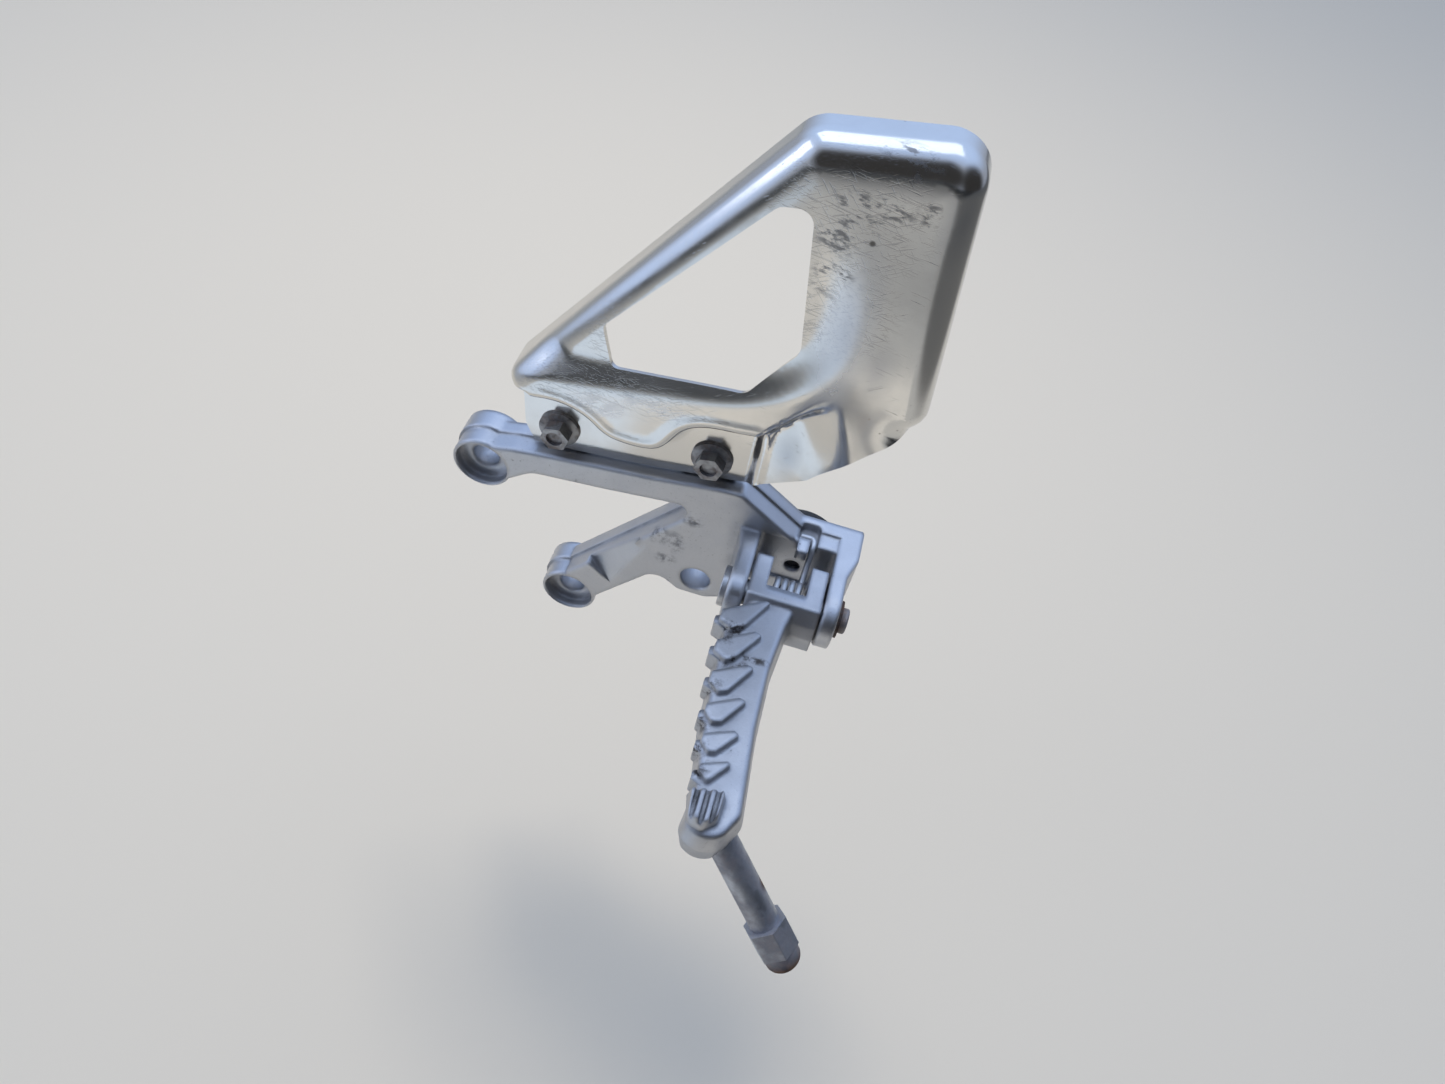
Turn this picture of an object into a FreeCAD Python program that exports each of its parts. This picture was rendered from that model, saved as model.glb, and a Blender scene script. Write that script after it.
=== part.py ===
# Motorcycle footrest hanger with a heel guard and a folding, sprung footpeg.
# Millimetres. X runs along the hinge pin, -Y points away from the bike, Z is up in the
# plane of the plate. The origin is the upper mount bore on the face against the frame.
import FreeCAD, Part
import math
import os
import Sketcher
from FreeCAD import Placement, Rotation, Vector

SIZES = [
    ("front_depth", 14.5, "mount face to front face of the bosses"),
    ("parting_depth", 7.5, "mount face to the parting step"),
    ("plate_depth", 2.5, "mount face to the back of the plate"),
    ("parting_step", 0.7, "inset of the front half at the parting step"),
    ("boss_radius", 10.5, "mount boss, rear half"),
    ("boss_front_radius", 9.7, "mount boss, front half"),
    ("lower_bore_x", 31.8, "lower mount bore"),
    ("lower_bore_z", -53.3, "lower mount bore"),
    ("spare_bore_x", 75.1, "spare hole"),
    ("spare_bore_z", -25.2, "spare hole"),
    ("spare_bore_radius", 5.3, "spare hole"),
    ("bore_radius", 4.6, "mount bolt hole"),
    ("counterbore_radius", 8.75, "recess for the bolt head"),
    ("counterbore_depth", 4.3, "recess for the bolt head"),
    ("edge_round", 0.9, "rounded front edges of the casting"),
    ("ear_round", 0.8, "rounded edges of the ears"),
    ("arm_bevel_depth", 4.0, "slope on the front of the lower arm"),
    ("arm_bevel_width", 12.0, "slope on the front of the lower arm"),
    ("arm_bevel_length", 26.0, "slope on the front of the lower arm"),
    ("clevis_top", 7.5, "height of the flat on top of the clevis"),
    ("ear_left", 85.4, "outer face of the left ear at the plate"),
    ("ear_left_nose", 86.8, "outer face of the left ear at the pin"),
    ("fork_left", 92.2, "inner face of the left ear"),
    ("fork_width", 24.2, "gap between the ears"),
    ("ear_right_width", 7.2, "right ear at the plate"),
    ("ear_right_taper", 2.2, "narrowing of the right ear at the pin"),
    ("ear_radius", 9.7, "nose of the ears around the pin"),
    ("ear_foot", 4.3, "front face of the plate to the foot of the ears"),
    ("fork_recess", 1.0, "depth of the milled floor between the ears"),
    ("pin_depth", 31.5, "mount face to the pin axis"),
    ("pin_height", -2.2, "height of the pin axis"),
    ("pin_radius", 4.0, "hinge pin"),
    ("pin_clearance", 0.05, "radial play of the pin"),
    ("pin_head_radius", 6.4, "head of the hinge pin"),
    ("pin_head_length", 2.0, "head of the hinge pin"),
    ("pin_tail", 1.4, "hinge pin past the side of the plate"),
    ("clip_gap", 0.15, "ear to retaining clip"),
    ("clip_thickness", 1.1, "retaining clip"),
    ("clip_radius", 5.9, "retaining clip"),
    ("clip_room", 3.1, "clip to the wide root of the right ear"),
    ("groove_radius", 3.2, "groove for the clip"),
    ("hook_width", 6.5, "pocket for the spring hook"),
    ("hook_left", 103.7, "pocket for the spring hook"),
    ("hook_wall", 2.4, "front face of the plate to the hook pocket"),
    ("hook_back", 5.5, "mount face to the back of the hook pocket"),
    ("hook_sink", 3.2, "depth of the hook pocket"),
    ("lug_left", 104.0, "spring lug"),
    ("lug_width", 3.6, "spring lug"),
    ("lug_reach", 3.3, "spring lug, in front of the plate"),
    ("lug_height", 4.0, "spring lug"),
    ("pad_hole_off", 0.1, "middle of the fork to the hole in its floor"),
    ("pad_hole_z", -5.3, "hole in the fork floor"),
    ("pad_hole_radius", 2.6, "hole in the fork floor"),
    ("guard_bolt_x", 23.9, "left guard bolt"),
    ("guard_bolt_z", 21.8, "left guard bolt"),
    ("guard_bolt_step_x", 47.7, "left to right guard bolt"),
    ("guard_bolt_step_z", 6.1, "left to right guard bolt"),
    ("guard_seat", 8.0, "mount face to the front of the guard lugs"),
    ("guard_lug_back", 0.6, "mount face to the back of the guard lugs"),
    ("guard_lug_radius", 7.4, "guard lugs"),
    ("guard_bolt_radius", 3.0, "guard bolt"),
    ("bolt_clearance", 0.3, "guard hole around its bolt"),
    ("guard_sheet", 2.0, "sheet of the heel guard"),
    ("guard_back", 0.6, "mount face to the back edge of the guard's rim"),
    ("guard_hollow_back", -1.0, "start of the hollow behind the guard"),
    ("guard_bulge", 18.5, "mount face to the foremost plane of the guard"),
    ("guard_panel", 14.5, "mount face to the panel around the window"),
    ("guard_rim", 5.0, "outer rounding of the guard's rim"),
    ("guard_lean_length", 260.0, "cut along the guard's lean"),
    ("guard_facet", 45.0, "cut along the sloped facet beside the flange"),
    ("knuckle_play", 0.7, "knuckle to each ear, side by side"),
    ("knuckle_top", 6.2, "height of the knuckle's flat top"),
    ("knuckle_rear", 6.6, "front face of the plate to the back of the knuckle"),
    ("knuckle_front", 23.2, "front face of the plate to the front of the knuckle"),
    ("stop_gap", 0.05, "heel of the knuckle to the plate, peg down"),
    ("slot_left", 98.1, "spring slot in the knuckle"),
    ("slot_width", 12.3, "spring slot in the knuckle"),
    ("slot_radius", 8.4, "spring slot around the pin"),
    ("peg_top", 4.4, "height of the tread between the ribs"),
    ("peg_waist", -2.6, "height where the peg is widest"),
    ("peg_bottom", -9.4, "underside of the peg"),
    ("peg_round", 1.8, "rounded upper edge of the peg"),
    ("peg_tip", 102.0, "front face of the plate to the tip of the peg"),
    ("peg_draft", 10.0, "draft of the peg's sides, degrees"),
    ("rib_height", 2.1, "chevron ribs on the tread"),
    ("crest_height", 4.4, "raised toothed end above the tread"),
    ("tooth_depth", 2.0, "grooves between the teeth"),
    ("feeler_x", 101.7, "feeler bolt at the peg's waist"),
    ("feeler_y", 93.1, "front face of the plate to the feeler bolt"),
    ("feeler_lean_side", 40.3, "lean of the feeler bolt along the pin, degrees"),
    ("feeler_lean_out", 18.2, "lean of the feeler bolt away from the plate, degrees"),
    ("feeler_radius", 4.4, "shank of the feeler bolt"),
    ("feeler_shank", 34.8, "waist of the peg to the hexagon"),
    ("feeler_seat", 3.5, "threaded end above the waist"),
    ("feeler_hex_length", 9.5, "hexagon of the feeler bolt"),
    ("feeler_hex_flats", 11.0, "hexagon of the feeler bolt"),
    ("feeler_tip_radius", 5.2, "rounded tip of the feeler bolt"),
    ("feeler_tip_length", 6.5, "rounded tip of the feeler bolt"),
    ("guard_bolt_hex", 8.0, "guard bolt across flats"),
    ("guard_bolt_head", 5.4, "guard bolt head with its flange"),
    ("guard_bolt_flange", 6.4, "guard bolt flange"),
    ("guard_bolt_grip", 9.0, "guard bolt under the head"),
    ("guard_bolt_dish", 2.6, "dish in the head of the guard bolt"),
    ("guard_bolt_dish_depth", 1.0, "dish in the head of the guard bolt"),
    ("thread_play", 0.05, "shanks inside their tapped holes"),
    ("buffer_radius", 12.4, "buffer behind the plate"),
    ("buffer_thickness", 2.4, "buffer behind the plate"),
    ("buffer_stem", 9.0, "stem of the buffer"),
    ("wire_radius", 1.0, "return spring"),
    ("coil_radius", 6.6, "return spring, middle of the wire"),
    ("coil_pitch", 2.25, "return spring"),
    ("coil_left", 100.0, "first coil of the return spring"),
]

os.makedirs("parts", exist_ok=True)
doc = FreeCAD.newDocument("FootrestHanger")
sheet = doc.addObject("Spreadsheet::Sheet", "Sizes")
for row, (alias, value, note) in enumerate(SIZES, start=1):
    sheet.set("A%d" % row, note)
    sheet.set("B%d" % row, str(value))
    sheet.setAlias("B%d" % row, alias)
doc.recompute()


def size(alias):
    return float(sheet.get(alias))


def new_body(name):
    body = doc.addObject("PartDesign::Body", name)
    body.Label = name
    return body


def link(*names):
    """Expression and value of a sum of sizes.

    A name after a minus sign is taken off, and a name before a slash is divided."""
    text = ""
    total = 0.0
    for name in names:
        alias, slash, divisor = name.lstrip("-").partition("/")
        sign = "-" if name.startswith("-") else "+"
        value = size(alias) / float(divisor or 1)
        text += " %s Sizes.%s%s%s" % (sign, alias, slash, divisor)
        total += value if sign == "+" else -value
    return text[3:] if text.startswith(" +") else text, total


PAD_HOLE_X = link("fork_left", "fork_width/2", "pad_hole_off")


def new_sketch(body, name, role, depth=None, turn=None):
    planes = [item for item in body.Origin.OriginFeatures if item.Role == role]
    sketch = body.newObject("Sketcher::SketchObject", name)
    sketch.AttachmentSupport = [(planes[0], "")]
    sketch.MapMode = "FlatFace"
    if turn is not None:
        sketch.AttachmentOffset = turn
    if depth is not None:
        sketch.setExpression("AttachmentOffset.Base.z", depth[0])
    return sketch


def add_curves(sketch, curves):
    for curve in curves:
        index = sketch.addGeometry(curve)
        sketch.addConstraint(Sketcher.Constraint("Block", index))


def rounded(points):
    """Lines and arcs of a closed outline whose corners are (x, y, radius)."""
    corners = []
    for index, (x, y, radius) in enumerate(points):
        corner = Vector(x, y, 0)
        before = Vector(points[index - 1][0], points[index - 1][1], 0) - corner
        following = points[(index + 1) % len(points)]
        after = Vector(following[0], following[1], 0) - corner
        before.normalize()
        after.normalize()
        if radius == 0:
            corners.append((corner, corner, corner))
            continue
        half = before.getAngle(after) / 2
        reach = radius / math.tan(half)
        inward = before + after
        inward.normalize()
        middle = corner + inward * (radius / math.sin(half) - radius)
        corners.append((corner + before * reach, middle, corner + after * reach))
    curves = []
    for index, (start, middle, end) in enumerate(corners):
        if (end - start).Length > 1e-6:
            curves.append(Part.Arc(start, middle, end))
        target = corners[(index + 1) % len(corners)][0]
        if (target - end).Length > 1e-6:
            curves.append(Part.LineSegment(end, target))
    return curves


def add_outline(sketch, points):
    add_curves(sketch, rounded(points))


def inset(curves, distance):
    wire = Part.Wire(Part.__sortEdges__([curve.toShape() for curve in curves]))
    smaller = wire.makeOffset2D(-distance)
    result = []
    for edge in smaller.Edges:
        if edge.Curve.TypeId == "Part::GeomLine":
            start, end = [vertex.Point for vertex in edge.Vertexes]
            result.append(Part.LineSegment(start, end))
        else:
            first, last = edge.ParameterRange
            result.append(Part.ArcOfCircle(edge.Curve, first, last))
    return result


def add_circle(sketch, across, up, radius):
    """A circle whose centre and radius follow the sheet; None for both is the origin."""
    centre = Vector(across[1] if across else 0, up[1] if up else 0, 0)
    circle = Part.Circle(centre, Vector(0, 0, 1), radius[1])
    index = sketch.addGeometry(circle)
    if across is None:
        sketch.addConstraint(Sketcher.Constraint("Coincident", index, 3, -1, 1))
    else:
        for kind, item in (("DistanceX", across), ("DistanceY", up)):
            number = sketch.addConstraint(Sketcher.Constraint(kind, -1, 1, index, 3, item[1]))
            sketch.setExpression("Constraints[%d]" % number, item[0])
    number = sketch.addConstraint(Sketcher.Constraint("Radius", index, radius[1]))
    sketch.setExpression("Constraints[%d]" % number, radius[0])


def pad(body, sketch, name, length, reverse=False, taper=0.0):
    feature = body.newObject("PartDesign::Pad", name)
    feature.Profile = sketch
    feature.Reversed = reverse
    feature.TaperAngle = taper
    feature.setExpression("Length", length[0])
    return feature


def pocket(body, sketch, name, length=None, reverse=False, taper=0.0):
    feature = body.newObject("PartDesign::Pocket", name)
    feature.Profile = sketch
    feature.Reversed = reverse
    feature.TaperAngle = taper
    if length is None:
        feature.Type = "ThroughAll"
    else:
        feature.setExpression("Length", length[0])
    return feature


def edges_where(shape, test):
    names = []
    for index, edge in enumerate(shape.Edges, start=1):
        if edge.Length > 1e-3 and test(edge):
            names.append("Edge%d" % index)
    return names


def round_edges(body, base, name, radius, test):
    doc.recompute()
    feature = body.newObject("PartDesign::Fillet", name)
    feature.Base = (base, edges_where(base.Shape, test))
    feature.setExpression("Radius", radius[0])
    doc.recompute()
    return feature


def right_side():
    """X of the right side of the plate, which is the outer face of the right ear."""
    return size("fork_left") + size("fork_width") + size("ear_right_width")


def clip_plane():
    """X of the retaining clip's inner face."""
    return link("fork_left", "fork_width", "ear_right_width", "-ear_right_taper", "clip_gap")


def hook_front():
    """Y of the front wall of the hook pocket."""
    return size("hook_wall") - size("front_depth")


def plate_corners():
    bore_x = size("lower_bore_x")
    bore_z = size("lower_bore_z")
    spare_x = size("spare_bore_x")
    spare_z = size("spare_bore_z")
    top = size("clevis_top")
    right = right_side()
    return [
        (1.0, 9.3, 0),
        (10.0, 11.5, 4),
        (26.0, 13.8, 30),
        (55.0, 17.3, 30),
        (75.5, 20.7, 10),
        (83.5, 21.3, 3),
        (103.5, top, 1.5),
        (right, top, 1.0),
        (right, -17.0, 6),
        (spare_x + 38.0, spare_z - 3.0, 8),
        (spare_x + 9.5, spare_z - 6.8, 3),
        (spare_x + 4.6, spare_z - 9.2, 6),
        (spare_x - 5.4, spare_z - 9.2, 6),
        (spare_x - 13.6, spare_z - 3.6, 5),
        (bore_x + 11.0, bore_z + 2.0, 6),
        (bore_x + 7.0, bore_z - 5.5, 0),
        (bore_x - 3.0, bore_z + 2.0, 0),
        (bore_x - 2.0, bore_z + 11.0, 0),
        (71.5, 8.4, 3),
        (40.0, 4.3, 40),
        (17.0, 1.9, 8),
        (7.0, -6.0, 0),
        (1.0, -3.0, 0),
    ]


def make_hanger():
    body = new_body("hanger")
    parting = link("parting_depth")
    outline = rounded(plate_corners())

    rear_sketch = new_sketch(body, "RearOutline", "XZ_Plane", link("plate_depth"))
    add_curves(rear_sketch, outline)
    pad(body, rear_sketch, "RearHalf", link("parting_depth", "-plate_depth"))
    front_sketch = new_sketch(body, "FrontOutline", "XZ_Plane", parting)
    add_curves(front_sketch, inset(outline, size("parting_step")))
    pad(body, front_sketch, "FrontHalf", link("front_depth", "-parting_depth"))

    bosses = (("Upper", None, None), ("Lower", link("lower_bore_x"), link("lower_bore_z")))
    for label, across, up in bosses:
        boss = new_sketch(body, label + "BossFrontCircle", "XZ_Plane", parting)
        add_circle(boss, across, up, link("boss_front_radius"))
        pad(body, boss, label + "BossFront", link("front_depth", "-parting_depth"))
    face = -size("front_depth")
    round_edges(body, body.Tip, "FrontRound", link("edge_round"), lambda edge: lies_at(edge, face))
    bevel_lower_arm(body)
    for label, across, up in bosses:
        boss = new_sketch(body, label + "BossRearCircle", "XZ_Plane")
        add_circle(boss, across, up, link("boss_radius"))
        pad(body, boss, label + "BossRear", parting)
    add_ears(body)
    add_guard_lugs(body)
    cut_fork(body)
    cut_bores(body)
    doc.recompute()
    return body


def lies_at(edge, level):
    """Whether an edge lies in the plane Y = level."""
    box = edge.BoundBox
    return abs(box.YMin - level) < 0.01 and abs(box.YMax - level) < 0.01


def is_level(edge, height):
    """Whether an edge lies in the plane Z = height and bounds more than a short corner."""
    box = edge.BoundBox
    return abs(box.ZMin - height) < 0.01 and abs(box.ZMax - height) < 0.01 and box.YLength > 0.5


def ear_profile():
    """Corners (Y, Z) of an ear: flat top, round nose about the pin, foot on the plate."""
    nose = size("ear_radius")
    axis_y = -size("pin_depth")
    axis_z = size("pin_height")
    back = -size("plate_depth") - 1.0
    top = size("clevis_top")
    return [
        (back, top, 0),
        (axis_y - nose, top, nose - 0.05),
        (axis_y - nose, axis_z - nose, nose - 0.1),
        (-size("front_depth") - size("ear_foot"), axis_z - nose, 6.0),
        (-size("front_depth") + 0.5, axis_z - nose - 6.0, 0),
        (back, axis_z - nose - 6.0, 0),
    ]


def add_ears(body):
    sketch = new_sketch(body, "EarProfileLeft", "YZ_Plane", link("ear_left"))
    add_outline(sketch, ear_profile())
    pad(body, sketch, "EarLeft", link("fork_left", "-ear_left"))
    sketch = new_sketch(body, "EarProfileRight", "YZ_Plane", link("fork_left", "fork_width"))
    add_outline(sketch, ear_profile())
    pad(body, sketch, "EarRight", link("ear_right_width"))

    far = -size("front_depth") - 40.0
    near = -size("front_depth") - 0.5
    slope = size("clip_radius") + size("clip_room") - size("pin_depth")
    left = size("ear_left")
    left_nose = size("ear_left_nose")
    right = right_side()
    right_nose = right - size("ear_right_taper")
    sketch = new_sketch(body, "EarSideCuts", "XY_Plane")
    add_outline(sketch, [(left - 2, near, 0), (left, near, 0), (left_nose, slope, 5),
                         (left_nose, far, 0), (left - 2, far, 0)])
    add_outline(sketch, [(right + 2, near, 0), (right, near, 0), (right_nose, slope, 5),
                         (right_nose, far, 0), (right + 2, far, 0)])
    cut = pocket(body, sketch, "EarSides")
    cut.SideType = "Symmetric"
    doc.recompute()
    round_edges(body, body.Tip, "EarRound", link("ear_round"),
                lambda edge: edge.BoundBox.YMax < near - 0.2 and edge.BoundBox.YLength > 1)


def add_guard_lugs(body):
    """Two threaded lugs behind the heel guard, each with a foot on the arm."""
    lug = size("guard_lug_radius")
    for label, across, up, rise in (
        ("Left", link("guard_bolt_x"), link("guard_bolt_z"), 0.0),
        ("Right", link("guard_bolt_x", "guard_bolt_step_x"),
         link("guard_bolt_z", "guard_bolt_step_z"), size("guard_bolt_step_z")),
    ):
        sketch = new_sketch(body, label + "LugOutline", "XZ_Plane", link("guard_lug_back"))
        top = up[1] + lug
        foot = 9.0 + rise
        add_outline(sketch, [(across[1] - lug - 2.0, foot, 0), (across[1] - lug, up[1], 4),
                             (across[1] - lug + 0.6, top, lug - 1), (across[1] + lug - 0.6, top, lug - 1),
                             (across[1] + lug, up[1], 4), (across[1] + lug + 2.0, foot, 0)])
        pad(body, sketch, label + "Lug", link("guard_seat", "-guard_lug_back"))


def cut_fork(body):
    left = size("fork_left")
    right = left + size("fork_width")
    swing = size("pin_height") - size("ear_radius")
    sketch = new_sketch(body, "ForkFloor", "XZ_Plane", link("front_depth", "-fork_recess"))
    add_outline(sketch, [(left, size("clevis_top"), 0), (left, swing, 0), (right, swing, 0),
                         (right, size("clevis_top"), 0)])
    pocket(body, sketch, "ForkRecess", link("pin_depth"), reverse=True)

    hook_left = size("hook_left")
    hook_right = hook_left + size("hook_width")
    lug_left = size("lug_left")
    lug_right = lug_left + size("lug_width")
    sketch = new_sketch(body, "LugOutline", "XY_Plane", link("clevis_top", "-lug_height"))
    front = -size("front_depth")
    add_outline(sketch, [(lug_left, hook_front(), 0), (lug_left, front - size("lug_reach"), 1.0),
                         (lug_right, front - size("lug_reach"), 1.0), (lug_right, hook_front(), 0)])
    pad(body, sketch, "SpringLug", link("lug_height"))
    sketch = new_sketch(body, "HookOutline", "XY_Plane", link("clevis_top"))
    add_outline(sketch, [(hook_left, -size("hook_back"), 1.5), (hook_left, hook_front(), 0),
                         (lug_right, hook_front(), 0), (lug_right, front - 1.0, 0),
                         (hook_right, front - 1.0, 0), (hook_right, -size("hook_back"), 1.5)])
    return pocket(body, sketch, "HookPocket", link("hook_sink"))


def bevel_lower_arm(body):
    """A slope along the upper edge of the lower arm, deepest at the edge."""
    slant = 50.3
    start = Vector(31.4, 0, -39.9)
    sketch, height = turned_sketch(body, "ArmBevel", slant, start, 9.0)
    face = -size("front_depth")
    depth = size("arm_bevel_depth")
    width = size("arm_bevel_width")
    add_outline(sketch, [(face - 2, height + 3, 0), (face - 2, height - width, 0),
                         (face, height - width, 0), (face + depth, height, 0),
                         (face + depth, height + 3, 0)])
    pocket(body, sketch, "ArmSlope", link("arm_bevel_length"), reverse=True, taper=-5.0)


def turned_sketch(body, name, slant, start, ahead):
    """Sketch square to a line in the XZ plane that leans by slant and passes through start.

    Its X is Y and its Y runs square to the line; it stands that far ahead of start."""
    angle = math.radians(slant)
    direction = Vector(math.cos(angle), 0, math.sin(angle))
    normal = Vector(-direction.z, 0, direction.x)
    along = start.dot(direction) + ahead
    offset = Vector(0, along * math.sin(angle), along * math.cos(angle))
    turn = Placement(offset, Rotation(Vector(1, 0, 0), -slant))
    return new_sketch(body, name, "YZ_Plane", turn=turn), start.dot(normal)


def cut_bores(body):
    for label, across, up in (
        ("Upper", None, None),
        ("Lower", link("lower_bore_x"), link("lower_bore_z")),
    ):
        sketch = new_sketch(body, label + "Hole", "XZ_Plane")
        add_circle(sketch, across, up, link("bore_radius"))
        pocket(body, sketch, label + "Bore", link("front_depth"), reverse=True)
        sketch = new_sketch(body, label + "Recess", "XZ_Plane", link("front_depth", "-counterbore_depth"))
        add_circle(sketch, across, up, link("counterbore_radius"))
        pocket(body, sketch, label + "Counterbore", link("counterbore_depth"), reverse=True)
    sketch = new_sketch(body, "SmallHoles", "XZ_Plane")
    add_circle(sketch, link("spare_bore_x"), link("spare_bore_z"), link("spare_bore_radius"))
    add_circle(sketch, PAD_HOLE_X, link("pad_hole_z"), link("pad_hole_radius"))
    pocket(body, sketch, "PlateHoles", link("front_depth"), reverse=True)
    sketch = new_sketch(body, "GuardHoles", "XZ_Plane")
    add_circle(sketch, link("guard_bolt_x"), link("guard_bolt_z"), link("guard_bolt_radius"))
    add_circle(sketch, link("guard_bolt_x", "guard_bolt_step_x"),
               link("guard_bolt_z", "guard_bolt_step_z"), link("guard_bolt_radius"))
    pocket(body, sketch, "GuardThreads", link("guard_seat"), reverse=True)
    sketch = new_sketch(body, "PinBore", "YZ_Plane", link("ear_left", "-pin_head_length"))
    add_circle(sketch, link("-pin_depth"), link("pin_height"), link("pin_radius", "pin_clearance"))
    reach = link("fork_left", "fork_width", "ear_right_width", "pin_tail", "-ear_left", "pin_head_length")
    pocket(body, sketch, "PinHole", reach, reverse=True)


def front(distance):
    """Y of a plane that far in front of the plate's front face."""
    return -size("front_depth") - distance


def knuckle_profile():
    rear = size("knuckle_rear")
    nose = size("knuckle_front")
    top = size("knuckle_top")
    heel = size("stop_gap")
    return [
        (front(rear), top, 1.0),
        (front(nose), top, 1.0),
        (front(nose + 3.0), top - 5.0, 3),
        (front(nose + 4.6), top - 9.5, 3),
        (front(nose + 4.1), top - 15.5, 4),
        (front(nose - 3.4), top - 21.0, 5),
        (front(heel), top - 23.0, 1),
        (front(heel), top - 19.0, 1),
        (front(rear), top - 13.5, 2),
    ]


def peg_corners():
    """Plan (X, Y) of the peg at its waist."""
    left = size("fork_left") + size("knuckle_play")
    right = size("slot_left") + size("slot_width")
    tip = size("peg_tip")
    return [
        (left + 2.0, front(19.6), 0),
        (left + 0.6, front(26.5), 0),
        (left - 4.6, front(29.0), 2),
        (left - 3.7, front(44.0), 0),
        (left - 2.6, front(66.0), 0),
        (left + 1.0, front(tip - 12.0), 0),
        (left + 0.2, front(tip - 3.0), 4),
        (left + 6.5, front(tip + 0.6), 8),
        (left + 12.6, front(tip - 2.0), 6.5),
        (left + 16.4, front(tip - 9.5), 6.5),
        (left + 14.2, front(66.0), 0),
        (left + 13.8, front(46.0), 0),
        (left + 15.2, front(30.5), 4),
        (right, front(19.6), 0),
    ]


RIBS = [
    ((-5.6, 32.0), (6.3, 24.6), (8.2, 25.0), (2.2, 36.4), (-1.4, 38.0), (-5.6, 35.8)),
    ((-4.4, 43.0), (5.6, 36.4), (8.4, 37.2), (2.2, 47.7), (-0.2, 49.3), (-4.5, 46.8)),
    ((-3.2, 53.6), (6.1, 48.2), (8.6, 48.9), (2.9, 58.8), (0.4, 59.9), (-3.3, 57.2)),
    ((-2.0, 64.2), (6.5, 59.5), (9.1, 60.0), (3.6, 68.8), (0.9, 69.6), (-2.0, 66.9)),
    ((-0.6, 73.4), (7.5, 69.8), (9.5, 71.0), (4.3, 78.1), (2.1, 78.6), (-0.6, 76.0)),
    ((0.9, 82.2), (7.9, 79.3), (9.4, 80.0), (4.8, 86.4), (3.8, 86.7), (0.9, 84.2)),
]


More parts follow.
